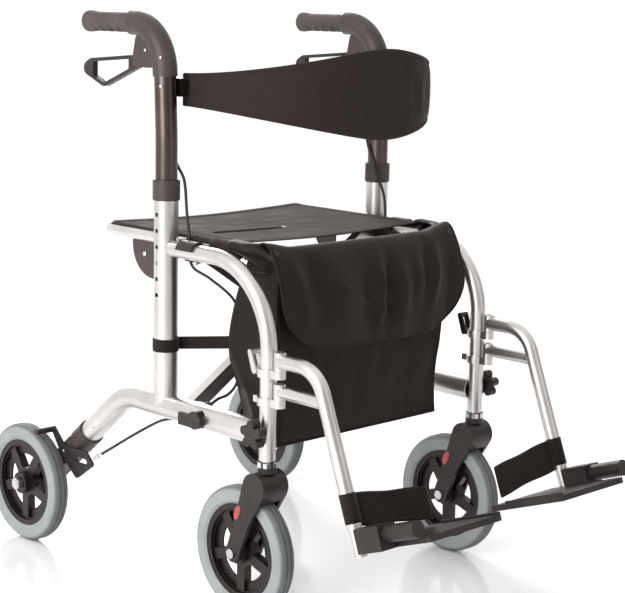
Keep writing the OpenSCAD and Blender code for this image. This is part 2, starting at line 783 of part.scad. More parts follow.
module footplate(side) {
    on_side(side) color("black") at_foot() difference() {
        union() {
            translate([-18, foot_start, -plate_low]) cube([36, 48, plate_low + 14]);
            translate([0, foot_start, 0]) rotate([-90, 0, 0])
                cylinder(h = foot_end - foot_start, r = foot_knob_r);
            translate([-plate_reach, -plate_back, -plate_low])
                cube([plate_reach - plate_edge, plate_len, plate_t]);
            translate([-plate_reach, foot_start, -plate_low])
                cube([4, plate_len - plate_back - foot_start, plate_t + 4]);
        }
        translate([0, -1, 0]) rotate([-90, 0, 0])
            cylinder(h = foot_end - 4, r = foot_pin_r + run);
    }
}

loop_h = 48;
loop_t = 1.2;
loop_bow = 5;
loop_fall = 16;
loop_ahead = 9;

// Webbing behind the heel, from a sleeve on the hanger to the inner end of the plate
module heel_loop(side) {
    sleeve_at = foot_at - 14 * hanger_dir;
    sleeve_top = foot_at - 64 * hanger_dir;
    middle = (sleeve_at + sleeve_top) / 2;
    inner_x = frame_x - plate_reach + 8;
    outer_x = frame_x - hanger_d / 2 - 1;
    up = [0, -hanger_dir[0], -hanger_dir[1]] * loop_h / 2;
    out = [0, -hanger_dir[1], hanger_dir[0]] * loop_t / 2;
    on_side(side) color("black") {
        upright() difference() {
            bar(sleeve_at, sleeve_top, hanger_d + 2 * loop_t);
            bar(sleeve_at + 2 * hanger_dir, sleeve_top - 2 * hanger_dir, hanger_d + 2 * weld);
        }
        skin([for (i = [0 : 16])
            let (t = i / 16, c = [outer_x + (inner_x - outer_x) * t,
                middle[0] - loop_ahead * t + loop_bow * sin(180 * t), middle[1] - loop_fall * t])
            [c + up - out, c + up + out, c - up + out, c - up - out]], 4);
    }
}

latch_at = [leg_y + leg_d / 2 + 10, lug_upper_z + lug_h / 2];
latch_pin_d = 5;

// Thumb lever that holds a hanger in its forward place
module hanger_latch(side) {
    tip = latch_at + [10, 26];
    on_side(side) color("gray") {
        for (x = [frame_x - 9, frame_x + 5 + gap])
            upright(x) linear_extrude(4 - gap) hull() {
                translate(latch_at) circle(d = 10);
                translate(tip) circle(d = 8);
            }
        cross_pin(tip, 8, frame_x - 9, frame_x + 9);
        cross_pin(latch_at, latch_pin_d, frame_x - 9, frame_x + 9);
    }
}

// Brace bar number 1 (front) or 2 (rear) with its pivot tube and its seat tube
module cross_brace(n) {
    y = n == 1 ? brace_front_y : brace_rear_y;
    side = n == 1 ? 1 : -1;
    bolt_end = brace_rear_y + brace_t / 2 + 8;
    on_side(side) color("silver") difference() {
        union() {
            translate([-seat_x, y - brace_t / 2, rail_z]) rotate([0, -brace_angle, 0])
                translate([0, 0, -brace_h / 2]) cube([brace_len - 6, brace_t, brace_h]);
            along_y(-seat_x, rail_z, pivot_tube_d, y - pivot_tube_l / 2, y + pivot_tube_l / 2);
            along_y(seat_x, seat_tube_z, seat_tube_d, seat_front_y, seat_rear_y);
            if (n == 1)
                along_y(0, brace_mid_z, pivot_d, y, bolt_end);
            if (n == 1)
                along_y(0, brace_mid_z, 20, bolt_end - 6, bolt_end);
        }
        along_y(-seat_x, rail_z, pivot_d + 2 * run, y - pivot_tube_l, y + pivot_tube_l);
        along_y(seat_x, seat_tube_z, seat_tube_d - 3, seat_front_y - 1, seat_rear_y + 1);
        if (n == 2)
            along_y(0, brace_mid_z, pivot_d + 2 * run, 0, 2 * y);
    }
}

guard_y = [125, 177];
guard_z = 470;

// Quarter round plate under the rear part of a seat tube
module seat_guard(side) {
    top = seat_tube_z - seat_tube_d / 2 - weld;
    r = guard_y[1] - guard_y[0];
    on_side(side) color("black") upright(seat_x - 3) difference() {
        linear_extrude(6) intersection() {
            translate([guard_y[0], guard_z]) square([r, top + 4 - guard_z]);
            translate([guard_y[0], top - 6]) circle(r = r);
        }
        translate([guard_y[0] - 1, seat_tube_z, 3]) rotate([0, 90, 0])
            cylinder(h = r + 2, d = seat_tube_d + 2 * weld);
    }
}

sling_z = seat_tube_z + seat_tube_d / 2 + gap;

// Fabric stretched between the seat tubes, with a slit for the lifting hand
module seat_sling() {
    on_side(1) color("black") difference() {
        translate([-seat_x - 4, seat_front_y, sling_z])
            cube([2 * seat_x + 8, seat_rear_y - seat_front_y - 7, sling_t]);
        translate([slit_x - slit_len / 2, slit_y - slit_w / 2, sling_z - 1])
            cube([slit_len, slit_w, sling_t + 2]);
    }
}

bag_mid_z = (bag_top + bag_bottom) / 2 + 4;
bag_back = [-84, -34, -44];
bag_front = [-150, -146, -140];

// Body of the bag through its top, its fuller middle and its bottom, drawn in by the inset
module bag_body(inset, top, bottom) {
    z = [top, bag_mid_z, bottom];
    x = bag_x - inset;
    skin([for (i = [0 : 2])
        let (front = bag_front[i] + inset, back = bag_back[i] - inset)
        [[-x, front, z[i]], [-x, back, z[i]], [x, back, z[i]], [x, front, z[i]]]], 4);
}

bag_tab_y = -122;
bag_tab_w = 30;

// Loop of the bag round the bend of an upper rail
module bag_loop() {
    centre = [leg_y + leg_bend_r, top_rail_z - leg_bend_r];
    at = 90 + asin((centre[0] - bag_tab_y) / leg_bend_r);
    half = bag_tab_w / leg_bend_r * 90 / PI;
    tab_z = centre[1] + leg_bend_r * sin(at);
    difference() {
        upright() difference() {
            bend(centre, leg_bend_r, leg_d + 6, at - half, 2 * half);
            bend(centre, leg_bend_r, leg_d + 2 * gap, at - half - 1, 2 * half + 2);
        }
        translate([frame_x - 4, bag_tab_y - leg_bend_r / 2, tab_z - leg_bend_r / 2])
            cube([leg_d, leg_bend_r, leg_bend_r]);
    }
    translate([bag_x - 1, bag_tab_y - 8, tab_z - bag_wall / 2])
        cube([frame_x - leg_d / 2 - 1 - bag_x, 16, bag_wall]);
}

module bag() {
    on_side(1) color("black") {
        difference() {
            bag_body(0, bag_top, bag_bottom);
            bag_body(bag_wall, bag_top + 2, bag_bottom + bag_wall);
        }
        for (side = [0, 1])
            mirror([side, 0, 0]) bag_loop();
    }
}

flap_front = bag_front[0] - 24;
flap_lean = 2;
flap_round = 82;

// Flap over the mouth of the bag and down in front of it
module bag_flap() {
    on_side(1) color("black") {
        translate([1 - flap_x, flap_front - bag_wall / 2, bag_top + 2 * gap])
            cube([2 * flap_x - 2, bag_back[0] - flap_front + bag_wall / 2, bag_wall]);
        translate([0, flap_front, bag_top + 2 * gap + bag_wall]) rotate([90 + flap_lean, 0, 0])
            linear_extrude(bag_wall) difference() {
                translate([-flap_x, -flap_drop]) square([2 * flap_x, flap_drop - 1]);
                for (side = [-1, 1])
                    translate([side * flap_x, -flap_drop]) difference() {
                        square(2 * flap_round, center = true);
                        translate([-side * flap_round, flap_round]) circle(r = flap_round);
                    }
            }
    }
}

back_full = 0.8;
back_rise = 1.4;
back_crown = 0.06;

// Share of the rise from the band's ends to its middle, rounded off at the top
function back_share(t) =
    let (w = 1 - min(t, 180 - t) / 90)
    pow(1 + back_crown - sqrt(w * w + back_crown * back_crown), back_rise);

// Padded band: rings of a rounded section along a full bow, higher in the middle
function back_ring_at(t) =
    let (s = sin(t), c = cos(t),
        half_h = (back_end_h + (back_mid_h - back_end_h) * back_share(t)) / 2,
        half_t = back_t * (0.28 + 0.22 * pow(s, 0.6)),
        normal = unit([sign(c) * back_bow * pow(abs(c), 2 - back_full),
            -back_end_x * pow(s, 2 - back_full), 0]),
        middle = [sign(c) * back_end_x * pow(abs(c), back_full),
            back_y - back_bow * pow(s, back_full), back_z - 4])
    [for (k = [0 : back_ring - 1])
        let (a = 360 * k / back_ring,
            u = sign(cos(a)) * pow(abs(cos(a)), 0.8),
            v = sign(sin(a)) * pow(abs(sin(a)), 0.5))
        middle + half_t * u * normal * (1 - 0.25 * abs(v)) + [0, 0, half_h * v]];

back_cut = 1.2;
eye_w = 8;

// The band meets a tongue with an eye on each side that turns on the handle's pin
module backrest_pad() {
    tongue_y = back_y - back_bow * pow(sin(back_cut), back_full) + 0.5;
    on_side(1) color("black") {
        skin([for (i = [0 : back_stations])
            back_ring_at(back_cut + (180 - 2 * back_cut) * i / back_stations)], back_ring);
        for (side = [-1, 1])
            difference() {
                union() {
                    translate([side * back_end_x - 3, tongue_y, back_z - 8])
                        cube([6, back_y - tongue_y, 16]);
                    cross_pin([back_y, back_z], 18, side * back_end_x - eye_w / 2,
                        side * back_end_x + eye_w / 2);
                }
                cross_pin([back_y, back_z], back_pin_d + 2 * run, side * back_end_x - eye_w,
                    side * back_end_x + eye_w);
            }
    }
}

knob_lobes = 5;

module star_knob(side) {
    face = frame_x + rail_d / 2 + 1.5;
    on_side(side) color("black") {
        upright(face) linear_extrude(15) union() {
            translate([leg_y, knob_z]) circle(r = 13);
            for (i = [0 : knob_lobes - 1])
                translate([leg_y + 15 * cos(90 + i * 360 / knob_lobes),
                    knob_z + 15 * sin(90 + i * 360 / knob_lobes)]) circle(r = 7);
        }
        cross_pin([leg_y, knob_z], knob_stem_d, frame_x + stem_d / 2 + 3, face + 1);
    }
}

strap_z = 386;
strap_h = 18;
strap_t = 2.5;
strap_end = bag_back[2] + 0.2 + (bag_back[1] - bag_back[2])
    * (strap_z + strap_h / 2 - bag_bottom) / (bag_mid_z - bag_bottom);

// Webbing from each rear post to the back of the bag
module bag_straps() {
    for (side = [-1, 1])
        on_side(side) color("black") {
            translate([frame_x, post_y, strap_z - strap_h / 2]) difference() {
                cylinder(h = strap_h, d = post_d + 2 * strap_t + 2 * weld);
                translate([0, 0, -1]) cylinder(h = strap_h + 2, d = post_d + 2 * weld);
            }
            translate([0, 0, strap_z - strap_h / 2]) linear_extrude(strap_h) polygon([
                [frame_x - post_d / 2 - 1.5, post_y - 2],
                [frame_x - post_d / 2 - 1.5 + strap_t, post_y - 8],
                [bag_x - 10 + strap_t, strap_end], [bag_x - 10, strap_end]]);
        }
}

rear_post(-1);  // rear_post_right
rear_post(1);  // rear_post_left
lower_rail(-1);  // lower_rail_right
lower_rail(1);  // lower_rail_left
front_leg(-1);  // front_leg_right
front_leg(1);  // front_leg_left
post_collar(-1);  // post_collar_right
post_collar(1);  // post_collar_left
axle_block(-1);  // axle_block_right
axle_block(1);  // axle_block_left
rear_axle(-1);  // rear_axle_right
rear_axle(1);  // rear_axle_left
seat_cradle(-1);  // seat_cradle_right
seat_cradle(1);  // seat_cradle_left
brake_cable(-1);  // brake_cable_right
brake_cable(1);  // brake_cable_left
rail_clip();
handle_tube(-1);  // handle_tube_right
handle_tube(1);  // handle_tube_left
brake_housing(-1);  // brake_housing_right
brake_housing(1);  // brake_housing_left
grip(-1);  // grip_right
grip(1);  // grip_left
brake_lever(-1);  // brake_lever_right
brake_lever(1);  // brake_lever_left
brake_arm(-1);  // brake_arm_right
brake_arm(1);  // brake_arm_left
height_button(-1);  // height_button_right
height_button(1);  // height_button_left
castor_fork(-1);  // castor_fork_right
castor_fork(1);  // castor_fork_left
castor_axle(-1);  // castor_axle_right
castor_axle(1);  // castor_axle_left
front_tyre(-1);  // front_tyre_right
front_tyre(1);  // front_tyre_left
front_rim(-1);  // front_rim_right
front_rim(1);  // front_rim_left
rear_tyre(-1);  // rear_tyre_right
rear_tyre(1);  // rear_tyre_left
rear_rim(-1);  // rear_rim_right
rear_rim(1);  // rear_rim_left
footrest_hanger(-1);  // footrest_hanger_right
footrest_hanger(1);  // footrest_hanger_left
footplate(-1);  // footplate_right
footplate(1);  // footplate_left
heel_loop(-1);  // heel_loop_right
heel_loop(1);  // heel_loop_left
hanger_latch(-1);  // hanger_latch_right
hanger_latch(1);  // hanger_latch_left
cross_brace(1);  // cross_brace_front
cross_brace(2);  // cross_brace_rear
seat_guard(-1);  // seat_guard_right
seat_guard(1);  // seat_guard_left
seat_sling();
bag();
bag_flap();
backrest_pad();
star_knob(-1);  // star_knob_right
star_knob(1);  // star_knob_left
bag_straps();
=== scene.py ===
"""Looks of a folding rollator that doubles as a transport chair.

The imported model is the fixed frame. Soft parts, cables and small trim are modelled here, and every
surface has a procedural material. The frame is in metres: right is -X, the walking direction is -Y
and +Z is up. Sizes of pieces are millimetres in the drawing axes of the part's source, and spot()
turns such a place into a point of the frame.
"""

import json
from math import acos, copysign, cos, exp, hypot, pi, radians, sin, sqrt

import bpy
import numpy as np
from mathutils import Matrix, Vector, noise


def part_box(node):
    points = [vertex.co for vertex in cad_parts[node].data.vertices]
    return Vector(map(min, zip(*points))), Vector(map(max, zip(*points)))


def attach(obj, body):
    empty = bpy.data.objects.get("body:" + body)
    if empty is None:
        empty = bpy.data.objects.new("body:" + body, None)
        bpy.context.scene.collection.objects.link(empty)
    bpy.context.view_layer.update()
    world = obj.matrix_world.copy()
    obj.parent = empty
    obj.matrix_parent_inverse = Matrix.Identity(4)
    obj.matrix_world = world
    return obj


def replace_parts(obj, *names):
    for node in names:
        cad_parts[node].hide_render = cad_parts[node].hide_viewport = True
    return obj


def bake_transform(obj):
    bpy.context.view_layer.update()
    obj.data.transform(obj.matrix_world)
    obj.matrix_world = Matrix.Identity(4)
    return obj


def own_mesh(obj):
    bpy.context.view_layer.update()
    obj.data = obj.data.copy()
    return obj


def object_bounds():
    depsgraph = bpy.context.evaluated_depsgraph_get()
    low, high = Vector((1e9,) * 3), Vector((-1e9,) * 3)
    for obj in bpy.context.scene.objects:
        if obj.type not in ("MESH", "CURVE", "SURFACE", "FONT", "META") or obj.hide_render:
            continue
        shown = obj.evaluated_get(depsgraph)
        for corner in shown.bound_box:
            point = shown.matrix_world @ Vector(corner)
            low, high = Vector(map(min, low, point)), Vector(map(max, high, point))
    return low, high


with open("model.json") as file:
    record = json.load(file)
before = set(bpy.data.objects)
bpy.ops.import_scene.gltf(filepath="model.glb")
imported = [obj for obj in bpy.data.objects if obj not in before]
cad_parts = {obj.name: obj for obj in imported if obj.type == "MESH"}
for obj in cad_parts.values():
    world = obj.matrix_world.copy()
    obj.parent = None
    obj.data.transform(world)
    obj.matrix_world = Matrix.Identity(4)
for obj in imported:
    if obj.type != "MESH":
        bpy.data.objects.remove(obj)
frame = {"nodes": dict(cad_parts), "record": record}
cad_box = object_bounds()
scene = bpy.context.scene

MM = 0.001
SIDES = {"right": -1, "left": 1}
ENDS = ("front", "rear")
ALONG_X, ALONG_Y, ALONG_Z = (1, 0, 0), (0, 1, 0), (0, 0, 1)

# Places read from the frame
POST_LOW, POST_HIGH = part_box("rear_post_left")
FRAME_X = (POST_LOW.x + POST_HIGH.x) / 2 / MM
POST_Y = 57
SHIFT_Y = (POST_LOW.y + POST_HIGH.y) / 2 / MM - POST_Y


def spot(x, y, z):
    """Point of the frame from millimetres in the drawing axes of the part's source"""
    return Vector((x * MM, (y + SHIFT_Y) * MM, z * MM))


def placed(name, data):
    """New object in the scene"""
    thing = bpy.data.objects.new(name, data)
    scene.collection.objects.link(thing)
    return thing


# Camera at the photograph's viewing angle
PICTURE_W = 625
FOCAL_PIXELS = 1674
SENSOR_MM = 36
VIEW_END = 100
CAMERA_AT = spot(-1847.8, -1937.3, 923.5)
CAMERA_AZIMUTH = radians(-44.08)
CAMERA_DOWN = radians(10.15)
CAMERA_ROLL = radians(1.14)


def make_camera():
    a, e, r = CAMERA_AZIMUTH, CAMERA_DOWN, CAMERA_ROLL
    back = Vector((sin(a) * cos(e), -cos(a) * cos(e), sin(e)))
    right = Vector((cos(a), sin(a), 0))
    up = back.cross(right)
    turned_right = cos(r) * right + sin(r) * up
    turned_up = -sin(r) * right + cos(r) * up
    data = bpy.data.cameras.new("camera")
    data.sensor_width = SENSOR_MM
    data.lens = SENSOR_MM * FOCAL_PIXELS / PICTURE_W
    data.clip_end = VIEW_END
    camera = placed("camera", data)
    axes = Matrix((turned_right, turned_up, back)).transposed()
    camera.matrix_world = Matrix.Translation(CAMERA_AT) @ axes.to_4x4()
    scene.camera = camera


# Material layers: colours are display values, noise scales are per metre, relief is in metres
CLOUD_LOW, CLOUD_HIGH = 0.3, 0.7
RANGE_SOCKETS = ("From Min", "From Max", "To Min", "To Max")
WARM = (1, 0.88, 0.83, 1)


def tone(red, green, blue):
    """Linear colour from display values between 0 and 255"""
    def linear(v):
        v = v / 255
        return v / 12.92 if v <= 0.04045 else ((v + 0.055) / 1.055) ** 2.4
    return (linear(red), linear(green), linear(blue), 1)


def new_node(tree, kind, output, inputs, **settings):
    """Output of a new node that has values or links at its inputs"""
    node = tree.nodes.new(kind)
    for key, value in settings.items():
        setattr(node, key, value)
    for socket, value in inputs.items():
        if isinstance(value, bpy.types.NodeSocket):
            tree.links.new(value, node.inputs[socket])
        else:
            node.inputs[socket].default_value = value
    return node.outputs[output]


def ranged(tree, factor, *limits):
    """Factor moved from one range to another"""
    inputs = {"Value": factor, **dict(zip(RANGE_SOCKETS, limits))}
    return new_node(tree, "ShaderNodeMapRange", "Result", inputs)


def ramped(tree, factor, stops):
    """Colour from a factor and a list of (place, linear colour)"""
    colour = new_node(tree, "ShaderNodeValToRGB", "Color", {"Fac": factor})
    ramp = colour.node.color_ramp.elements
    while len(ramp) < len(stops):
        ramp.new(0.5)
    for element, (place, value) in zip(ramp, stops):
        element.position = place
        element.color = value
    return colour


class Paint:
    """One shader with procedural layers for colour, roughness and relief"""

    def __init__(self, name, sockets):
        self.material = bpy.data.materials.new(name)
        self.material.use_nodes = True
        self.tree = self.material.node_tree
        self.shader = self.tree.nodes["Principled BSDF"]
        self.place = self.node("ShaderNodeTexCoord", "Object", {})
        self.relief = None
        for socket, value in sockets.items():
            self.shader.inputs[socket].default_value = value

    def node(self, kind, output, inputs, **settings):
        return new_node(self.tree, kind, output, inputs, **settings)

    def link(self, source, socket):
        self.tree.links.new(source, self.shader.inputs[socket])

    def stretched(self, scale, centre=(0, 0, 0)):
        """Object coordinates moved to a centre and scaled along each axis"""
        moved = [-c * s for c, s in zip(centre, scale)]
        return self.node("ShaderNodeMapping", "Vector",
                         {"Vector": self.place, "Scale": scale, "Location": moved})

    def grain(self, scale, detail, place=None):
        return self.node("ShaderNodeTexNoise", "Fac",
                         {"Vector": place or self.place, "Scale": scale, "Detail": detail})

    def bands(self, scale, direction):
        return self.node("ShaderNodeTexWave", "Fac", {"Vector": self.place, "Scale": scale},
                         wave_type="BANDS", bands_direction=direction)

    def combine(self, operation, a, b):
        return self.node("ShaderNodeMath", "Value", {0: a, 1: b}, operation=operation)

    def mixed(self, a, share, b):
        """Sum of two factors: the first with its share, the second with the rest"""
        return self.combine("ADD", self.combine("MULTIPLY", a, share),
                            self.combine("MULTIPLY", b, 1 - share))

    def colours(self, factor, stops):
        self.link(ramped(self.tree, factor, stops), "Base Color")

    def two_tone(self, factor, dark, light):
        self.colours(factor, [(CLOUD_LOW, tone(*dark)), (CLOUD_HIGH, tone(*light))])

    def rough(self, factor, low, high):
        self.link(ranged(self.tree, factor, CLOUD_LOW, CLOUD_HIGH, low, high), "Roughness")

    def bump(self, height, strength, distance):
        inputs = {"Height": height, "Strength": strength, "Distance": distance}
        if self.relief:
            inputs["Normal"] = self.relief
        self.relief = self.node("ShaderNodeBump", "Normal", inputs)
        self.link(self.relief, "Normal")


def metal(name, dark, light, low, high, metallic=1.0, coat=0.0):
    """Cloudy satin metal, its roughness between low and high"""
    paint = Paint(name, {"Metallic": metallic, "Coat Weight": coat, "Coat Roughness": 0.08})
    cloud = paint.grain(scale=14, detail=4)
    paint.two_tone(cloud, dark, light)
    paint.rough(paint.mixed(cloud, 0.6, paint.grain(scale=420, detail=2)), low, high)
    paint.bump(paint.grain(scale=1600, detail=2), strength=0.06, distance=0.0004)
    return paint.material


def moulded(name, dark, light, low, high, grain=1400, relief=0.25):
    """Moulded plastic or rubber with a fine grain"""
    paint = Paint(name, {"Specular IOR Level": 0.42, "Specular Tint": WARM})
    paint.two_tone(paint.grain(scale=22, detail=4), dark, light)
    paint.rough(paint.grain(scale=180, detail=3), low, high)
    paint.bump(paint.grain(grain, detail=2), relief, distance=0.0005)
    return paint.material


AXES = {"X": ALONG_X, "Y": ALONG_Y, "Z": ALONG_Z}
THREAD_RUN = 14
THREAD_RELIEF = 0.0006


def threads_of(paint, count, axis):
    """Uneven threads that follow each other along one axis and run long across it"""
    scale = [count if on else count / THREAD_RUN for on in AXES[axis]]
    return paint.grain(1, 2, paint.stretched(scale))


def cloth(name, dark, light, threads, across="XZ", sheen=0.25, relief=0.5, shine=0.25,
          rough=(0.72, 0.9)):
    """Plain weave: two sets of threads across each other, with cloudy wear in the colour"""
    paint = Paint(name, {"Specular IOR Level": shine, "Specular Tint": WARM, "Sheen Weight": sheen,
                         "Sheen Roughness": 0.45, "Sheen Tint": WARM})
    warp = threads_of(paint, threads, across[0])
    weft = threads_of(paint, threads, across[1])
    weave = paint.mixed(warp, 0.5, weft)
    cloud = paint.grain(scale=26, detail=5)
    paint.two_tone(paint.mixed(cloud, 0.7, weave), dark, light)
    paint.rough(cloud, *rough)
    paint.bump(weave, relief, THREAD_RELIEF)
    return paint.material


def ribbed(name, dark, light, ribs, across):
    """Webbing: close ribs along the band"""
    paint = Paint(name, {"Specular IOR Level": 0.25, "Specular Tint": WARM, "Sheen Weight": 0.2,
                         "Sheen Roughness": 0.4, "Sheen Tint": WARM})
    rib = threads_of(paint, ribs, across)
    cloud = paint.grain(scale=40, detail=4)
    paint.two_tone(paint.mixed(cloud, 0.65, rib), dark, light)
    paint.rough(cloud, 0.65, 0.85)
    paint.bump(rib, 0.35, THREAD_RELIEF)
    return paint.material


TREAD_FROM, TREAD_FULL = 0.0935, 0.098
TREAD_RIBS = 1500
TYRE_COLOURS = [(0.1, tone(148, 154, 154)), (0.3, tone(132, 137, 137)), (0.9, tone(96, 98, 98))]


def tyre_rubber(name, centre):
    """Pale rubber side and a darker ribbed tread, told apart by the distance from the axle"""
    paint = Paint(name, {"Specular IOR Level": 0.35})
    from_axle = paint.stretched((1, 1, 1), centre)
    x, y, z = paint.node("ShaderNodeSeparateXYZ", "X", {"Vector": from_axle}).node.outputs
    squares = paint.combine("ADD", paint.combine("MULTIPLY", y, y), paint.combine("MULTIPLY", z, z))
    radius = paint.combine("POWER", squares, 0.5)
    tread = ranged(paint.tree, radius, TREAD_FROM, TREAD_FULL, 0, 1)
    cloud = paint.grain(scale=30, detail=4)
    paint.colours(paint.mixed(tread, 0.7, cloud), TYRE_COLOURS)
    paint.rough(cloud, 0.5, 0.68)
    ribs = paint.combine("SINE", paint.combine("MULTIPLY", x, TREAD_RIBS), 0)
    paint.bump(paint.combine("MULTIPLY", ribs, tread), strength=0.3, distance=0.0009)
    paint.bump(paint.grain(scale=700, detail=2), strength=0.12, distance=0.0004)
    return paint.material


PRISMS = 160


def reflector_glass(name):
    """Red lens with a grid of small prisms"""
    paint = Paint(name, {"Specular IOR Level": 0.6, "Coat Weight": 0.6, "Coat Roughness": 0.05})
    prisms = paint.combine("MULTIPLY", paint.bands(PRISMS, "Y"), paint.bands(PRISMS, "Z"))
    paint.colours(prisms, [(0.1, tone(150, 18, 22)), (0.6, tone(214, 44, 44))])
    paint.rough(prisms, 0.15, 0.3)
    paint.bump(prisms, strength=0.4, distance=0.0008)
    return paint.material


PAINTS = {
    "aluminium_tube": metal("aluminium", (203, 200, 198), (221, 217, 215), 0.28, 0.37),
    "black_tube": metal("gloss_black", (82, 73, 70), (94, 84, 81), 0.26, 0.32, coat=0.1),
    "grey_plastic": moulded("grey_plastic", (54, 48, 46), (68, 61, 59), 0.36, 0.5),
    "black_plastic": moulded("black_plastic", (30, 27, 27), (44, 40, 39), 0.38, 0.52),
    "steel": metal("steel", (190, 190, 192), (222, 222, 224), 0.2, 0.32),
    "grip_rubber": moulded("grip_rubber", (62, 56, 55), (80, 73, 71), 0.58, 0.74, 1000, 0.4),
    "cable_jacket": moulded("cable_jacket", (28, 25, 25), (44, 40, 39), 0.35, 0.48),
    "webbing": ribbed("webbing", (14, 11, 10), (28, 23, 21), 700, "Z"),
    "seat_fabric": cloth("seat_fabric", (32, 26, 24), (48, 41, 38), 620, "XY", sheen=0.05,
                         shine=0.15),
    "back_fabric": cloth("back_fabric", (28, 22, 21), (42, 34, 32), 760, sheen=0.07, relief=0.35),
    "bag_fabric": cloth("bag_fabric", (12, 8, 7), (22, 16, 13), 800, sheen=0.06, relief=0.3,
                        shine=0.26, rough=(0.5, 0.64)),
}
REFLECTOR = reflector_glass("reflector_red")
RIM_LOOK = moulded("rim_black", (14, 12, 12), (24, 21, 20), 0.32, 0.44)
# The two hanger latches are one part in one material; their looks are painted light: a pale steel
# colour on the right latch as painted highlight, and a dark colour on the left latch as painted
# shade
OWN_LOOKS = {
    "hanger_latch_right": metal("latch_painted_lit", (196, 194, 192), (214, 212, 210), 0.42, 0.5),
    "hanger_latch_left": metal("latch_painted_shade", (34, 30, 29), (46, 41, 40), 0.34, 0.44, metallic=0.4),
    **{f"{end}_rim_{side}": RIM_LOOK for end in ENDS for side in SIDES},
}


def paint_nodes():
    """Gives every node of the frame its own look or else the look of its slot"""
    for row in frame["record"]["subparts"]:
        node = frame["nodes"][row["node"]]
        if row["material_slot"] == "tyre":
            low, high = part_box(row["node"])
            look = tyre_rubber("tyre_" + row["node"], (low + high) / 2)
        else:
            look = OWN_LOOKS.get(row["node"], PAINTS[row["material_slot"]])
        node.data.materials.clear()
        node.data.materials.append(look)
        for face in node.data.polygons:
            face.material_index = 0


# Mesh making
def piece(name, shape, look, smooth=True):
    """Piece from points and faces"""
    mesh = bpy.data.meshes.new(name)
    mesh.from_pydata([tuple(p) for p in shape[0]], [], shape[1])
    mesh.validate()
    mesh.materials.append(look)
    for face in mesh.polygons:
        face.use_smooth = smooth
    thing = placed(name, mesh)
    return thing


def in_slot(name, shape, slot, smooth=True):
    return piece(name, shape, PAINTS[slot], smooth)


def settle(thing):
    """Applies all modifiers of a piece to its mesh"""
    graph = bpy.context.evaluated_depsgraph_get()
    mesh = bpy.data.meshes.new_from_object(thing.evaluated_get(graph))
    thing.modifiers.clear()
    thing.data = mesh
    return thing


def thickened(thing, thickness, offset=1.0):
    shell = thing.modifiers.new("shell", "SOLIDIFY")
    shell.thickness = thickness * MM
    shell.offset = offset
    shell.use_even_offset = True
    return settle(thing)


def subdivided(thing):
    modifier = thing.modifiers.new("smooth", "SUBSURF")
    modifier.levels = modifier.render_levels = 1
    return settle(thing)


def grid_faces(rows, columns, ring=False):
    """Quads between rows of points, closed round each row where ring is true"""
    last = columns if ring else columns - 1
    return [(j * columns + i, j * columns + (i + 1) % columns,
             (j + 1) * columns + (i + 1) % columns, (j + 1) * columns + i)
            for j in range(rows - 1) for i in range(last)]


def capped_faces(rows, columns):
    """Quads round closed rows of points, with a face over the first and the last row"""
    ends = [tuple(reversed(range(columns))), tuple(range((rows - 1) * columns, rows * columns))]
    return grid_faces(rows, columns, ring=True) + ends


def thick_sheet(name, points, columns, slot, thickness, offset=0.0, ring=False):
    """Thick cloth from rows of points"""
    faces = grid_faces(len(points) // columns, columns, ring)
    return thickened(in_slot(name, (points, faces), slot), thickness, offset)


def circle(count):
    """Even angles round a circle"""
    return np.linspace(0, 2 * pi, count, endpoint=False)


def smooth_route(points, steps):
    """Smooth curve through the points of a route, with that many steps between two of them"""
    p = [Vector(q) for q in points]
    out = []
    for i in range(len(p) - 1):
        a, b, c, d = p[max(i - 1, 0)], p[i], p[i + 1], p[min(i + 2, len(p) - 1)]
        for k in range(steps):
            t = k / steps
            out.append(0.5 * (2 * b + (c - a) * t + (2 * a - 5 * b + 4 * c - d) * t * t
                              + (3 * b - a - 3 * c + d) * t ** 3))
    return out + [p[-1]]


def tube_mesh(path, radius, sides=12, closed=False, flat=1.0, up=None, square=1.0):
    """Tube along a path in metres, its first axis along up. flat scales its other axis, and square
    below 1 makes its section blunt"""
    n = len(path)
    points = []
    side_axis = None
    for i, centre in enumerate(path):
        before = path[(i - 1) % n] if closed or i else path[i]
        after = path[(i + 1) % n] if closed or i < n - 1 else path[i]
        heading = (after - before).normalized()
        if up is not None:
            side_axis = Vector(up)
        elif side_axis is None:
            side_axis = heading.orthogonal()
        side_axis = (side_axis - heading * side_axis.dot(heading)).normalized()
        other = heading.cross(side_axis)
        for k in range(sides):
            turn = 2 * pi * (k + 0.5) / sides
            c, w = cos(turn), sin(turn)
            c, w = copysign(abs(c) ** square, c), copysign(abs(w) ** square, w)
            points.append(centre + radius * (c * side_axis + flat * w * other))
    if not closed:
        return points, capped_faces(n, sides)
    last = (n - 1) * sides
    seam = [(last + i, last + (i + 1) % sides, (i + 1) % sides, i) for i in range(sides)]
    return points, grid_faces(n, sides, ring=True) + seam


def tube(name, path, radius, slot, **options):
    return in_slot(name, tube_mesh(path, radius * MM, **options), slot)


def webbing(name, path, half_width, across, **options):
    """Flat band of webbing with blunt edges"""
    return tube(name, path, half_width, "webbing", flat=0.1, up=across, square=0.4, **options)


def turned_mesh(profile, centre, axis, sides=24, across=None, squeeze=1.0):
    """Lathe: profile is a list of (radius, height along the axis) in mm, closed at both ends"""
    axis = Vector(axis).normalized()
    a = Vector(across).normalized() if across else axis.orthogonal().normalized()
    b = axis.cross(a)
    points = []
    for radius, height in profile:
        for k in range(sides):
            turn = 2 * pi * k / sides
            points.append(centre + axis * (height * MM)
                          + (radius * MM) * (cos(turn) * a + squeeze * sin(turn) * b))
    return points, capped_faces(len(profile), sides)


def joined(parts):
    """One list of points and faces from several"""
    points, faces = [], []
    for p, f in parts:
        base = len(points)
        points += list(p)
        faces += [tuple(base + i for i in face) for face in f]
    return points, faces


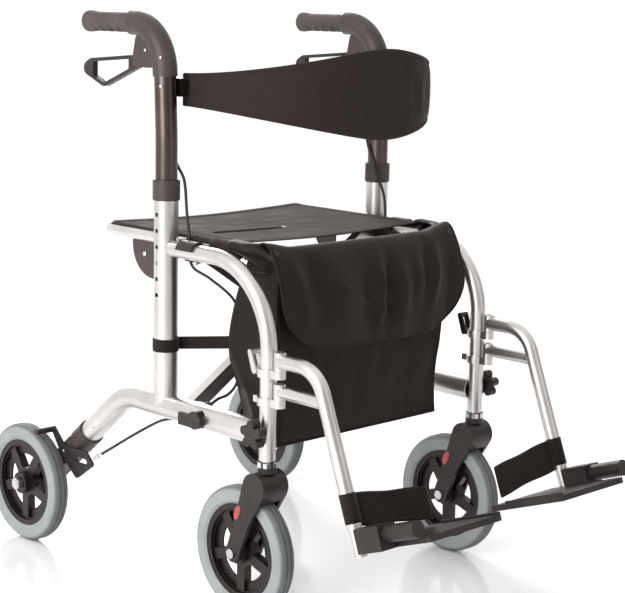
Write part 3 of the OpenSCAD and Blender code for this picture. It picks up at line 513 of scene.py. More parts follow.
# Sewn threads, in metres
STITCH_PITCH, STITCH_LENGTH, STITCH_R = 0.0052, 0.0034, 0.00045
STITCH_RISE = 0.6


def stitches(name, path, slot, normal=Vector()):
    """Short threads along a path on the cloth, their middles raised along the normal"""
    parts = []
    carry = 0.0
    lift = normal * STITCH_R * STITCH_RISE
    for a, b in zip(path, path[1:]):
        run = b - a
        distance = run.length
        if distance < 1e-7:
            continue
        heading = run / distance
        place = carry
        while place < distance:
            start = a + heading * place
            mid = start + heading * STITCH_LENGTH / 2 + lift
            parts.append(tube_mesh([start, mid, start + heading * STITCH_LENGTH], STITCH_R, 5))
            place += STITCH_PITCH
        carry = place - distance
    return in_slot(name, joined(parts), slot)


def smoothstep(low, high, value):
    t = min(max((value - low) / (high - low), 0), 1)
    return t * t * (3 - 2 * t)


def ripple(x, y, z, scale=(1, 1, 1)):
    return noise.noise(Vector((x * scale[0], y * scale[1], z * scale[2])))


def crumpled(things, body):
    """Gives each piece its own mesh and lets it ride on a body"""
    for thing in things:
        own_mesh(thing)
        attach(thing, body)


# Brake cables
CABLE_D = 4.6
CABLE_STEPS = 10
CABLE_ROUTE = [
    (217.4, 74, 797.2), (217.4, 74, 720.1), (216, 69, 690), (212, 56, 664), (209.5, 45, 647),
    (211, 38, 630), (215, 31, 610), (218, 25, 590), (217.2, 20.5, 559), (216.8, 20.5, 532),
    (213, 15, 510), (202.5, -12, 495.5), (181, -40, 467), (160.5, -34.5, 432), (148.5, -27.5, 392),
    (150, -26, 350), (157, -23, 324), (170, -19.5, 310), (188, -17, 305), (201, -15, 297),
    (206.5, -13.5, 284), (206.5, -6.5, 271.5), (205.5, 7, 266.5), (205, 30, 265), (205, 66, 259.5),
    (206, 97, 251.4), (210, 125, 237), (220, 164.4, 212), (236, 197, 187.6), (249.9, 222.55, 168.3)]
# Barrel and two nuts: start, stop, radius and number of sides
ADJUSTER = ((-18, -1, 2.9, 20), (-11, -7.5, 5.0, 6), (-5, -2.5, 4.4, 6))
CHAMFER = 0.5


def mirrored(s, place):
    x, y, z = place
    return spot(s * x, y, z)


def brake_cable(side):
    s = SIDES[side]
    path = smooth_route([mirrored(s, place) for place in CABLE_ROUTE], CABLE_STEPS)
    cable = tube("cable_" + side, path, CABLE_D / 2, "cable_jacket")
    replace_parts(cable, "brake_cable_" + side)
    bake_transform(cable)
    cable_adjuster(side, path[-1], (path[-1] - path[-4]).normalized())


def cable_adjuster(side, end, heading):
    """Threaded barrel with two nuts where the cable meets the brake"""
    parts = []
    for start, stop, radius, sides in ADJUSTER:
        profile = [(radius - CHAMFER, start), (radius, start + CHAMFER), (radius, stop - CHAMFER),
                   (radius - CHAMFER, stop)]
        parts.append(turned_mesh(profile, end, heading, sides))
    adjuster = in_slot("cable_adjuster_" + side, joined(parts), "steel", smooth=False)
    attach(adjuster, side + "_frame")


# Seat sling
SLING_LOW, SLING_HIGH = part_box("seat_sling")
SLING_OVER = 4
CLOTH_CLEAR = 0.3
SEAT_CLOTH = 1.3
SEAT_X = SLING_HIGH.x / MM - SLING_OVER
SEAT_TUBE_R = 11
SEAT_TUBE_Z = SLING_LOW.z / MM - CLOTH_CLEAR - SEAT_TUBE_R
SEAT_FRONT = SLING_LOW.y / MM - SHIFT_Y
SEAT_REAR = SLING_HIGH.y / MM - SHIFT_Y
SEAT_SAG, SAG_POWER, SEAT_WAVE = 5, 1.2, 0.7
SLIT = (-150, -10, 33.5, 42.5)
HEM, HEM_EDGE, HEM_RISE = 15, 1, 0.9
CRADLE_Y = (-23, 19)
POST_FRONT = 33
CUT = 0.01
# Angles round the seat tube where the cloth ends: at the cradle, ahead of the post and behind that
WRAP_CRADLE, WRAP_UNDER, WRAP_REAR = 24, -95, 50
WRAP_STEPS, WRAP_MEAN = 9, 130


def wrap_end(y):
    if CRADLE_Y[0] < y < CRADLE_Y[1]:
        return WRAP_CRADLE
    return WRAP_UNDER if y < POST_FRONT else WRAP_REAR


def seat_height(x, y):
    slack = 1 - (x / SEAT_X) ** 2
    edge = min(y - SEAT_FRONT, SEAT_REAR - y)
    hem = HEM_RISE * (1 - smoothstep(HEM - HEM_EDGE, HEM + HEM_EDGE, edge))
    wave = SEAT_WAVE * ripple(x, y, 0, (0.006, 0.05, 1)) * slack
    return -SEAT_SAG * slack ** SAG_POWER + hem + wave


def seat_row(y):
    """Points across the seat: round the right tube, over to the left tube and round that"""
    r = SEAT_TUBE_R + CLOTH_CLEAR
    end = wrap_end(y)
    angles = [end + (90 - end) * k / WRAP_STEPS for k in range(WRAP_STEPS)]
    curl = [(SEAT_X + r * cos(radians(a)), SEAT_TUBE_Z + r * sin(radians(a))) for a in angles]
    xs = sorted(set(np.linspace(-SEAT_X, SEAT_X, 66).round(3)) | set(SLIT[:2]))
    top = [(x, SEAT_TUBE_Z + r + seat_height(x, y)) for x in xs]
    return [(-x, z) for x, z in curl] + top + [(x, z) for x, z in reversed(curl)]


def seat_sling():
    steps = {SEAT_FRONT, SEAT_REAR, SLIT[2], SLIT[3]} | set(np.linspace(SEAT_FRONT, SEAT_REAR, 44))
    steps |= {y + d for y in (POST_FRONT, *CRADLE_Y) for d in (-CUT, CUT)}
    steps |= {y + d for y in (SEAT_FRONT + HEM, SEAT_REAR - HEM) for d in (-HEM_EDGE, HEM_EDGE)}
    rows = [[spot(x, y, z) for x, z in seat_row(y)] for y in sorted(steps)]
    points = [p for row in rows for p in row]
    faces = []
    for face in grid_faces(len(rows), len(rows[0])):
        middle = sum((points[i] for i in face), Vector()) / 4
        x, y = middle.x / MM, middle.y / MM - SHIFT_Y
        if not (SLIT[0] < x < SLIT[1] and SLIT[2] < y < SLIT[3]):
            faces.append(face)
    sling = thickened(in_slot("seat_cloth", (points, faces), "seat_fabric"), SEAT_CLOTH)
    across = 2 * SEAT_X + 2 * pi * SEAT_TUBE_R * WRAP_MEAN / 360
    return sling, (across * MM, (SEAT_REAR - SEAT_FRONT) * MM)


def seat_top(x, y, lift=0.0):
    cloth_top = SEAT_TUBE_Z + SEAT_TUBE_R + CLOTH_CLEAR + SEAT_CLOTH
    return spot(x, y, cloth_top + seat_height(x, y) + lift)


STITCH_IN, SIDE_STITCH_IN, STITCH_END = 2.5, 16, 4
BINDING_R, BINDING_LOW, BINDING_STEP = 1.5, -0.4, 6
EYELET_R, EYELET_WIRE, EYELET_AWAY, EYELET_LIFT = 3, 0.9, 7, 0.2


def seat_trim():
    """Stitched hems, the bound slit and its eyelet"""
    xs = np.linspace(-SEAT_X + SIDE_STITCH_IN + 1, SEAT_X - SIDE_STITCH_IN - 1, 60)
    ys = np.linspace(SEAT_FRONT + STITCH_END, SEAT_REAR - STITCH_END, 50)
    lines = {"front": [seat_top(x, SEAT_FRONT + HEM - STITCH_IN) for x in xs],
             "rear": [seat_top(x, SEAT_REAR - HEM + STITCH_IN) for x in xs]}
    for s in (-1, 1):
        lines[f"side_{s + 1}"] = [seat_top(s * (SEAT_X - SIDE_STITCH_IN), y) for y in ys]
    threads = [stitches("seat_stitch_" + name, path, "seat_fabric", Vector(ALONG_Z))
               for name, path in lines.items()]
    x0, x1, y0, y1 = SLIT
    r = (y1 - y0) / 2
    middle = (y0 + y1) / 2
    loop = []
    for cx, start in ((x1, -90), (x0, 90)):
        for k in range(9):
            turn = radians(start + 180 * k / 8)
            loop.append((cx + r * 0.6 * cos(turn), middle + (r + 1) * sin(turn)))
    fine = []
    for (ax, ay), (bx, by) in zip(loop, loop[1:] + loop[:1]):
        count = max(1, round(hypot(bx - ax, by - ay) / BINDING_STEP))
        fine += [seat_top(ax + (bx - ax) * k / count, ay + (by - ay) * k / count, BINDING_LOW)
                 for k in range(count)]
    binding = tube("slit_binding", fine, BINDING_R, "webbing", sides=8, closed=True)
    x1 += EYELET_AWAY
    ring = [seat_top(x1 + EYELET_R * cos(a), middle + EYELET_R * sin(a), EYELET_LIFT)
            for a in circle(20)]
    eyelet = tube("slit_eyelet", ring, EYELET_WIRE, "steel", sides=8, closed=True)
    return threads + [binding, eyelet]


def seat():
    sling, flat = seat_sling()
    trim = seat_trim()
    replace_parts(sling, "seat_sling")
    for thing in [sling] + trim:
        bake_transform(thing)


# Backrest band
BACK_X, BACK_Y, BACK_Z = 199.5, 51, 784
BACK_BOW, BACK_FULL = 232, 0.8
BACK_T, BACK_T_END, BACK_T_GAIN, BACK_T_POWER = 16, 0.28, 0.22, 0.6
BACK_END_H, BACK_MID_H = 47, 137
BACK_RISE, BACK_CROWN = 1.4, 0.06
BACK_OVER, BACK_DROP = 5, 4
BACK_PITCH = 5
BOW_SAMPLES, BOW_FROM = 1500, 0.02
SEAM = 0.87
PAD_EDGE, PAD_SWELL, PAD_POWER, PAD_BORDER = 0.2, 0.55, 0.42, 0.22


def bow_at(t):
    """Point of the bow in plan, half height and half thickness at an angle in degrees"""
    s, c = sin(radians(t)), cos(radians(t))
    w = 1 - min(t, 180 - t) / 90
    rise = (1 + BACK_CROWN - hypot(w, BACK_CROWN)) ** BACK_RISE
    half_h = (BACK_END_H + (BACK_MID_H - BACK_END_H) * rise) / 2
    half_t = BACK_T * (BACK_T_END + BACK_T_GAIN * s ** BACK_T_POWER)
    x = copysign(BACK_X * abs(c) ** BACK_FULL, c)
    return x, BACK_Y - BACK_BOW * s ** BACK_FULL, half_h, half_t


def back_stations():
    """Even steps along the bow: middle, outward normal, half height and half thickness"""
    dense = [bow_at(t) for t in np.linspace(BOW_FROM, 180 - BOW_FROM, BOW_SAMPLES)]
    dense = [(BACK_X, BACK_Y + BACK_OVER) + dense[0][2:]] + dense
    dense.append((-BACK_X, BACK_Y + BACK_OVER) + dense[-1][2:])
    table = np.array(dense)
    run = np.concatenate([[0], np.cumsum(np.hypot(*np.diff(table[:, :2], axis=0).T))])
    steps = np.linspace(0, run[-1], int(run[-1] / BACK_PITCH))
    even = np.array([np.interp(steps, run, table[:, k]) for k in range(4)]).T
    heading = np.gradient(even[:, :2], axis=0)
    heading /= np.linalg.norm(heading, axis=1)[:, None]
    return [(Vector((x, y, BACK_Z - BACK_DROP)), Vector((hy, -hx, 0)), half_h, half_t)
            for (x, y, half_h, half_t), (hx, hy) in zip(even, heading)]


BACK = back_stations()


def back_point(station, v, out):
    """Point of the band: v runs from the lower to the upper edge, out from its middle surface"""
    middle, normal, half_h, half_t = station
    return spot(*(middle + normal * half_t * out + Vector((0, 0, half_h * v))))


def pad_profile(v):
    """Fullness of the band across its height: a crowned pad between two sewn borders"""
    if abs(v) < SEAM:
        return PAD_EDGE + PAD_SWELL * (1 - (v / SEAM) ** 2) ** PAD_POWER
    return PAD_EDGE + PAD_BORDER * sin(pi * (abs(v) - SEAM) / (1 - SEAM))


def backrest_cloth():
    vs = list(np.linspace(-1, -SEAM, 4)) + list(np.linspace(-SEAM, SEAM, 25))[1:-1]
    vs += list(np.linspace(SEAM, 1, 4))
    ring = [(v, 1) for v in vs] + [(v, -1) for v in reversed(vs)]
    points, pinned = [], []
    last = len(BACK) - 1
    for j, station in enumerate(BACK):
        ends = 0.5 + 0.5 * smoothstep(0, 5, min(j, last - j))
        for v, face in ring:
            if abs(v) > SEAM - 0.01 or j in (0, last):
                pinned.append(len(points))
            points.append(back_point(station, v, face * pad_profile(v) * ends))
    shape = points, capped_faces(len(BACK), len(ring))
    pad = in_slot("backrest_cover", shape, "back_fabric")
    inflate(pad, pinned)
    return subdivided(pad)


SIM_FRAMES = 18
SIM_CAP = 5 * MM
SIM_SETTINGS = {
    "vertex_group_mass": "seams", "use_pressure": True, "uniform_pressure_force": 3.0, "mass": 0.2,
    "quality": 6, "tension_stiffness": 22, "compression_stiffness": 12, "bending_stiffness": 1.2}


def inflate(thing, pinned):
    """Swells a closed cover with cloth simulation, held at its seams, and limits each move"""
    group = thing.vertex_groups.new(name="seams")
    group.add(pinned, 1.0, "REPLACE")
    before = [v.co.copy() for v in thing.data.vertices]
    modifier = thing.modifiers.new("cloth", "CLOTH")
    for key, value in SIM_SETTINGS.items():
        setattr(modifier.settings, key, value)
    modifier.settings.effector_weights.gravity = 0
    modifier.collision_settings.use_collision = False
    for step in range(1, SIM_FRAMES + 1):
        scene.frame_set(step)
    settle(thing)
    scene.frame_set(1)
    for vertex, old in zip(thing.data.vertices, before):
        move = vertex.co - old
        if move.length > SIM_CAP:
            vertex.co = old + move * (SIM_CAP / move.length)


PIPING_V, PIPING_R, END_PIPING_R = 0.98, 1.6, 2.4
SEAM_OUT = 0.22


def backrest_trim():
    """Piping along both edges and the ends, and sewn lines on both faces"""
    trim = []
    for name, v in (("upper", 1), ("lower", -1)):
        path = [back_point(station, v * PIPING_V, 0) for station in BACK]
        trim.append(tube("backrest_piping_" + name, path, PIPING_R, "back_fabric", sides=10))
        for face in (1, -1):
            line = [back_point(station, v * SEAM, face * SEAM_OUT) for station in BACK]
            trim.append(stitches(f"backrest_stitch_{name}_{face + 1}", line, "back_fabric"))
    for side, station in (("left", BACK[0]), ("right", BACK[-1])):
        path = [back_point(station, v, 0) for v in np.linspace(-1, 1, 16)]
        trim.append(tube("backrest_end_" + side, path, END_PIPING_R, "back_fabric", sides=10))
    return trim


WASHER = [(6.4, 3.2), (7, 3.6), (7, 7.2), (6.4, 7.6)]
BUTTON = [(7.2, -1.0), (7.0, 0.2), (6.0, 1.1), (3.6, 1.7), (0.01, 1.9)]
BUTTON_X, BUTTON_V, BUTTON_BEFORE_Y = 187, 0.05, 30


def backrest_bracket(side):
    """Washer of the band round the handle's pin, against the lug"""
    s = SIDES[side]
    shape = turned_mesh(WASHER, spot(s * BACK_X, BACK_Y, BACK_Z), (s, 0, 0), 28)
    return in_slot("backrest_bracket_" + side, shape, "black_plastic")


def backrest_button(side, cover):
    """Covered rivet head on the front face, set on the cushion as it lies after the simulation"""
    ahead = [b for b in BACK if b[0].y < BUTTON_BEFORE_Y]
    station = min(ahead, key=lambda b: abs(b[0].x - SIDES[side] * BUTTON_X))
    aim = back_point(station, BUTTON_V, 1.0)
    near = min((v.co for v in cover.data.vertices), key=lambda co: (co - aim).length)
    return in_slot("backrest_button_" + side, turned_mesh(BUTTON, near, station[1]), "back_fabric")


def backrest():
    cover = backrest_cloth()
    trim = backrest_trim() + [backrest_button(side, cover) for side in SIDES]
    brackets = [backrest_bracket(side) for side in SIDES]
    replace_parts(cover, "backrest_pad")
    crumpled([cover] + trim + brackets, "backrest")


# Bag under the seat
BAG_X = 182
BAG_TOP, BAG_MID, BAG_BOTTOM = 542, 400, 250
BAG_FRONT, BAG_BACK = (-140, -146, -150), (-44, -34, -84)
BAG_MIDDLE_Y = (BAG_FRONT[0] + BAG_BACK[0]) / 2
BAG_CORNER, BAG_CORNER_STEPS = 7, 5
BAG_CLOTH = 1.8
BAG_SIDE_STEPS, BAG_WIDE_STEPS = 17, 49
BAG_WAIST, BAG_SWELL = 6, 4
BAG_SLACK, BAG_FRONT_BELLY, BAG_BACK_HOLLOW = 0.7, 4, 5
MOUTH_DIP, BOTTOM_SAG = 6, 3.0
GUSSET_TUCK, GUSSET_TOP, GUSSET_SOFT = 24, 0.55, 3


def bag_level(values, z):
    """Smooth curve through a size's bottom, middle and top values"""
    low, mid, high = BAG_BOTTOM, BAG_MID, BAG_TOP
    a = (z - mid) * (z - high) / ((low - mid) * (low - high))
    b = (z - low) * (z - high) / ((mid - low) * (mid - high))
    c = (z - low) * (z - mid) / ((high - low) * (high - mid))
    return a * values[0] + b * values[1] + c * values[2]


def bag_side(share, h):
    """How far a gusset is drawn in: a crease that starts at the back and runs forward going down"""
    soft = GUSSET_SOFT * sin(pi * share) * sin(pi * h)
    if h >= GUSSET_TOP:
        return soft
    crease = 1 - 0.5 * smoothstep(GUSSET_TOP, 0.0, h)
    behind = max(0, share - crease) / max(1 - crease, 0.05)
    return GUSSET_TUCK * smoothstep(0.0, GUSSET_TOP, GUSSET_TOP - h) * behind ** 0.8 + soft


def bag_ring(h):
    """Closed outline of the bag at a share of its height, with hanging folds"""
    z = BAG_BOTTOM + (BAG_TOP - BAG_BOTTOM) * h
    front, back = bag_level(BAG_FRONT, z), bag_level(BAG_BACK, z)
    waist = BAG_WAIST * sin(pi * min(h / 0.4, 1))
    half = BAG_X - waist + BAG_SWELL * smoothstep(0.3, 0.6, h)
    slack = sin(pi * h) ** BAG_SLACK
    across = [2 * k / (BAG_WIDE_STEPS - 1) - 1 for k in range(BAG_WIDE_STEPS)]
    out = []
    for share in across:
        x = (half - BAG_CORNER) * share
        fold = 2.5 * ripple(x, 0, z, (0.02, 1, 0.006)) + 1.2 * ripple(x, 7, z, (0.05, 1, 0.02))
        out.append((x, front - slack * (BAG_FRONT_BELLY * (1 - (x / half) ** 2) - fold)))
    out += bag_corner(half, front, -90)
    side = []
    for k in range(BAG_SIDE_STEPS):
        share = k / (BAG_SIDE_STEPS - 1)
        y = front + BAG_CORNER + (back - front - 2 * BAG_CORNER) * share
        side.append((half - bag_side(share, h), y))
    out += side
    tucked = side[-1][0]
    out += bag_corner(tucked, back, 0)
    for share in across:
        x = -(tucked - BAG_CORNER) * share
        hollow = BAG_BACK_HOLLOW * (1 - (x / half) ** 2) + 2 * ripple(x, 3, z, (0.02, 1, 0.008))
        out.append((x, back - slack * hollow))
    out += bag_corner(-tucked, back, 90)
    out += [(-x, y) for x, y in reversed(side)]
    out += bag_corner(-half, front, 180)
    return out, z


def bag_corner(x, y, start):
    cx = x - copysign(BAG_CORNER, x)
    cy = y + BAG_CORNER if start in (-90, 180) else y - BAG_CORNER
    turns = [radians(start + 90 * k / BAG_CORNER_STEPS) for k in range(1, BAG_CORNER_STEPS)]
    return [(cx + BAG_CORNER * cos(a), cy + BAG_CORNER * sin(a)) for a in turns]


def bag_shell():
    levels = [0.0, 0.006, 0.02] + list(np.linspace(0.05, 1, 34))
    insets = {0.0: 0.97, 0.006: 0.992}
    points = []
    for h in levels:
        ring, z = bag_ring(h)
        inset = insets.get(h, 1)
        dip = MOUTH_DIP * smoothstep(0.8, 1, h)
        points += [spot(x * inset, BAG_MIDDLE_Y + (y - BAG_MIDDLE_Y) * inset,
                        z - dip * (1 - (x / BAG_X) ** 2)) for x, y in ring]
    count = len(ring)
    faces = grid_faces(len(levels), count, ring=True)
    base = len(points)
    shares = (0.75, 0.5, 0.25)
    centre = spot(0, BAG_MIDDLE_Y, BAG_BOTTOM)
    for share in shares:
        sag = Vector((0, 0, -BOTTOM_SAG * MM * (1 - share ** 2)))
        points += [centre + (points[i] - centre) * share + sag for i in range(count)]
    points.append(centre + Vector((0, 0, -(BOTTOM_SAG + 0.2) * MM)))
    rings = [0] + [base + k * count for k in range(len(shares))]
    for a, b in zip(rings, rings[1:]):
        faces += [(a + (i + 1) % count, a + i, b + i, b + (i + 1) % count) for i in range(count)]
    last = rings[-1]
    faces += [(last + (i + 1) % count, last + i, len(points) - 1) for i in range(count)]
    return thickened(in_slot("bag_shell", (points, faces), "bag_fabric"), BAG_CLOTH, -1.0)


EDGE_PIPING_R, MOUTH_PIPING_R = 1.7, 2.0


def bag_piping():
    """Binding along the bag's upright edges, its bottom edge and its mouth"""
    trim = []
    rings = [bag_ring(h) for h in np.linspace(0.01, 1, 30)]
    corner = BAG_CORNER_STEPS - 1
    front_left = BAG_WIDE_STEPS + 1
    back_left = front_left + corner + BAG_SIDE_STEPS
    back_right = back_left + corner + BAG_WIDE_STEPS
    front_right = back_right + corner + BAG_SIDE_STEPS
    for name, index in (("front_right", front_right), ("front_left", front_left),
                        ("back_left", back_left), ("back_right", back_right)):
        path = [spot(*ring[index], z) for ring, z in rings]
        trim.append(tube("bag_piping_" + name, path, EDGE_PIPING_R, "bag_fabric", sides=8))
    for name, h, dip in (("bottom", 0.008, 0), ("mouth", 0.995, MOUTH_DIP)):
        ring, z = bag_ring(h)
        path = [spot(x, y, z - dip * (1 - (x / BAG_X) ** 2)) for x, y in ring]
        trim.append(tube("bag_piping_" + name, path, MOUTH_PIPING_R, "bag_fabric", sides=8,
                         closed=True))
    return trim


def with_fold(thing):
    """Gives a piece its own mesh and lets it ride on the right side frame"""
    crumpled([thing], "right_frame")


LEG_Y, LEG_BEND_R, LEG_R, TOP_RAIL_Z = -181, 125, 12.5, 538.5
HOOK_Y, HOOK_HALF, HOOK_CLEAR, HOOK_CLOTH = -122, 13, 0.6, 2.0
HOOK_FROM, HOOK_TURN, HOOK_ROWS, HOOK_COLUMNS = 108, 144, 7, 19
TAB_HALF, TAB_AWAY, TAB_LENGTH, TAB_SAG = 9, 1.5, 38, 5


def bag_loop(side):
    """Hook of the bag on the inner half of the upper rail's bend, and the tab that holds it"""
    s = SIDES[side]
    bend = Vector((s * FRAME_X, LEG_Y + LEG_BEND_R, TOP_RAIL_Z - LEG_BEND_R))
    at = acos((HOOK_Y - bend.y) / LEG_BEND_R)
    r = LEG_R + HOOK_CLEAR
    rows = []
    for k in range(HOOK_ROWS):
        turn = at + HOOK_HALF / LEG_BEND_R * (2 * k / (HOOK_ROWS - 1) - 1)
        out = Vector((0, cos(turn), sin(turn)))
        middle = bend + out * LEG_BEND_R
        for i in range(HOOK_COLUMNS):
            a = radians(HOOK_FROM + HOOK_TURN * i / (HOOK_COLUMNS - 1))
            rows.append(spot(*(middle + r * cos(a) * Vector((s, 0, 0)) + r * sin(a) * out)))
    band = thick_sheet("bag_loop_" + side, rows, HOOK_COLUMNS, "webbing", HOOK_CLOTH, -s)
    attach(band, side + "_frame")
    tab_x, tab_z = FRAME_X - LEG_R - TAB_AWAY, bend.z + LEG_BEND_R * sin(at)
    path = [spot(s * (tab_x - TAB_LENGTH * t), HOOK_Y, tab_z - TAB_SAG * t * t)
            for t in np.linspace(0, 1, 9)]
    tab = webbing("bag_tab_" + side, path, TAB_HALF, ALONG_Y, sides=16)
    with_fold(tab)


STRAP_Z, STRAP_H, STRAP_END_Z = 386, 20, 395
POST_R, STRAP_CLEAR, STRAP_STEPS = 19, 0.9, 14


def bag_strap(side):
    """Webbing round a rear post and on to the back of the bag"""
    s = SIDES[side]
    r = POST_R + STRAP_CLEAR
    ring = [spot(s * FRAME_X + r * cos(a), POST_Y + r * sin(a), STRAP_Z)
            for a in circle(40)]
    band = webbing("strap_ring_" + side, ring, STRAP_H / 2, ALONG_Z, sides=20, closed=True)
    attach(band, side + "_frame")
    start = Vector((FRAME_X - POST_R - 1.2, POST_Y - 3, STRAP_Z))
    end = Vector((BAG_X - 12, bag_level(BAG_BACK, STRAP_Z) + 1, STRAP_END_Z))
    path = [mirrored(s, start.lerp(end, k / STRAP_STEPS)) for k in range(STRAP_STEPS + 1)]
    run = webbing("strap_run_" + side, path, STRAP_H / 2, ALONG_Z, sides=20)
    with_fold(run)
    return band


FLAP_X = 201
FLAP_LINE = [(-87, 542.4), (-99, 543), (-110, 548), (-124, 553.5), (-139, 555), (-149, 549),
             (-157, 537), (-165, 518), (-172, 496), (-176, 470), (-177, 435), (-176, 401)]
FLAP_ROUND = (115, 80)
FLAP_CLOTH, FLAP_PIPING_R = 1.6, 1.8
FLAP_COLUMNS, FLAP_ROWS, FLAP_CROWD = 101, 72, 1.35
# Folds: place across, lean, width, height and the share of the length where each is strongest
FLAP_FOLDS = [
    (-182, 34, 12, 7, 0.45), (-150, 44, 18, -8, 0.5), (-96, 26, 30, 8, 0.6), (-30, 8, 16, -6, 0.7),
    (22, -26, 9, 6, 0.62), (40, -22, 10, -9, 0.66), (60, -8, 14, 6, 0.7), (104, -10, 26, 6, 0.6),
    (140, -52, 11, -8, 0.5), (162, -52, 10, 8, 0.48), (184, -30, 14, -4, 0.6)]
FOLD_REACH, FOLD_CALM, FOLD_CALM_RUN = 0.3, 0.45, 60
# Creases that run to one drawn-in spot: slant, width and height
FLAP_PULLS = [(0.6, 8, 4), (-0.8, 9, 3.5), (1.9, 10, 3)]
FLAP_DRAW, DRAW_DEPTH, DRAW_SIZE = (8, 446), 5, (22, 18)
PULL_ABOVE, PULL_REACH = 20, 40
FLAP_BELLY, FLAP_WAVE = 4, 1.6
HINGE_IN, SHOULDER_RISE, MOUTH_SLACK = 20, 9, 1.5


def flap_line(steps=16):
    """Even table of the flap's line from its hinge over the top and down: run, y and z"""
    path = smooth_route([(0, y, z) for y, z in FLAP_LINE], steps)
    run = np.concatenate([[0], np.cumsum([(b - a).length for a, b in zip(path, path[1:])])])
    return run, np.array([p.y for p in path]), np.array([p.z for p in path])


FLAP_RUN, FLAP_Y, FLAP_Z = flap_line()


def bell(*shares):
    return exp(-sum(share ** 2 for share in shares))


def flap_point(u, v):
    """Point of the flap: u across from right to left, v from its hinge over the top and down"""
    run = v * FLAP_RUN[-1]
    y, z = np.interp(run, FLAP_RUN, FLAP_Y), np.interp(run, FLAP_RUN, FLAP_Z)
    low = FLAP_RUN[-1] - run
    wide, high = FLAP_ROUND
    gone = wide * (1 - sqrt(max(1 - (max(high - low, 0) / high) ** 2, 0)))
    x = u * (FLAP_X - gone - HINGE_IN * (1 - smoothstep(14, 42, run)))
    share = x / FLAP_X
    hang = smoothstep(52, 130, run)
    rise = SHOULDER_RISE * smoothstep(18, 42, run) * (1 - smoothstep(45, 75, run))
    z += rise * smoothstep(0.72, 1, abs(share)) - MOUTH_SLACK * (1 - share ** 2) * (1 - hang)
    folds = sum(height * bell((v - peak) / FOLD_REACH) * bell((x - at - lean * v) / width)
                for at, lean, width, height, peak in FLAP_FOLDS)
    calm = FOLD_CALM * smoothstep(FOLD_CALM_RUN, 0, low) if low < FOLD_CALM_RUN else 0
    folds *= hang * (1 - calm)
    dx, dz = x - FLAP_DRAW[0], z - FLAP_DRAW[1]
    dimple = DRAW_DEPTH * bell(dx / DRAW_SIZE[0], dz / DRAW_SIZE[1])
    pull = sum(height * bell((dx + slant * dz) / width) for slant, width, height in FLAP_PULLS)
    pull *= hang * bell((dz - PULL_ABOVE) / PULL_REACH)
    y -= folds - dimple + pull + FLAP_BELLY * hang * (1 - share ** 2)
    y += FLAP_WAVE * hang * ripple(x, 2, z, (0.03, 1, 0.02))
    return Vector((x, y, z))


def bag_flap():
    columns, rows = FLAP_COLUMNS, FLAP_ROWS
    vs = [1 - (1 - j / (rows - 1)) ** FLAP_CROWD for j in range(rows)]
    points = [spot(*flap_point(2 * i / (columns - 1) - 1, v)) for v in vs for i in range(columns)]
    sheet = thick_sheet("flap_cloth", points, columns, "bag_fabric", FLAP_CLOTH)
    edge = [points[j * columns] for j in range(rows)]
    edge += [points[(rows - 1) * columns + i] for i in range(1, columns)]
    edge += [points[j * columns + columns - 1] for j in range(rows - 2, -1, -1)]
    piping = tube("flap_piping", edge, FLAP_PIPING_R, "bag_fabric", sides=8)
    snaps = [flap_snap(side) for side in SIDES]
    crumpled([sheet, piping] + snaps, "bag_lid")
    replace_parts(sheet, "bag_flap")


SNAP = [(5.2, -0.4), (5.2, 1.4), (4.6, 2.0), (3.4, 2.0), (3.0, 1.5), (0.01, 1.7)]
SNAP_U, SNAP_V, NUDGE = 0.955, 0.3, 0.01


def flap_snap(side):
    """Press stud near an upper corner of the flap"""
    u = SIDES[side] * SNAP_U
    at = flap_point(u, SNAP_V)
    along = flap_point(u, SNAP_V + NUDGE) - at
    across = flap_point(u + NUDGE, SNAP_V) - at
    normal = across.cross(along).normalized()
    if normal.z < 0 or normal.y > 0.5:
        normal = -normal
    return in_slot("flap_snap_" + side, turned_mesh(SNAP, spot(*at), normal), "black_plastic")


WING_Y, WING_ROWS, WING_FALL_STEPS = (-69, -147), 22, 8
WING_TOP, WING_FOOT, WING_IN, WING_OUT = 562, 518, 182, 218
# Rounded upper edge of the wing: distance in from its side and down from its top
WING_EDGE = [(26, 1.5), (17, 0), (6, 0.4), (1.5, 3.5), (0, 8)]


def bag_wing(side):
    """Side of the bag's mouth: from the top over the seat tube's end and down to the gusset"""
    s = SIDES[side]
    points = []
    for j in range(WING_ROWS):
        t = j / (WING_ROWS - 1)
        y = WING_Y[0] + (WING_Y[1] - WING_Y[0]) * t
        edge = WING_OUT - 26 * smoothstep(0.35, 1, t)
        top = WING_TOP - 14 * smoothstep(0.6, 1, t) - 1.2 * sin(pi * t)
        foot = WING_FOOT + 12 * (1 - smoothstep(0.1, 0.5, t))
        corner = [(edge - inward, top - down) for inward, down in WING_EDGE]
        drop = corner[-1][1]
        for k in range(1, WING_FALL_STEPS + 1):
            f = k / WING_FALL_STEPS
            x = edge + (WING_IN - edge) * smoothstep(0.1, 1, f)
            corner.append((x, drop + (foot - drop) * f))
        for i, (x, z) in enumerate(corner):
            wave = 1.1 * ripple(j * 0.35, i * 0.4, s * 2) * smoothstep(3, 6, i)
            points.append(spot(s * (x + wave), y, z))
    wing = thick_sheet("bag_wing_" + side, points, len(corner), "bag_fabric", FLAP_CLOTH)
    with_fold(wing)


def bag():
    shell = bag_shell()
    trim = bag_piping()
    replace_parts(shell, "bag")
    for side in SIDES:
        bag_loop(side)
        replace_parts(bag_strap(side), "bag_straps")
    crumpled([shell] + trim, "right_frame")


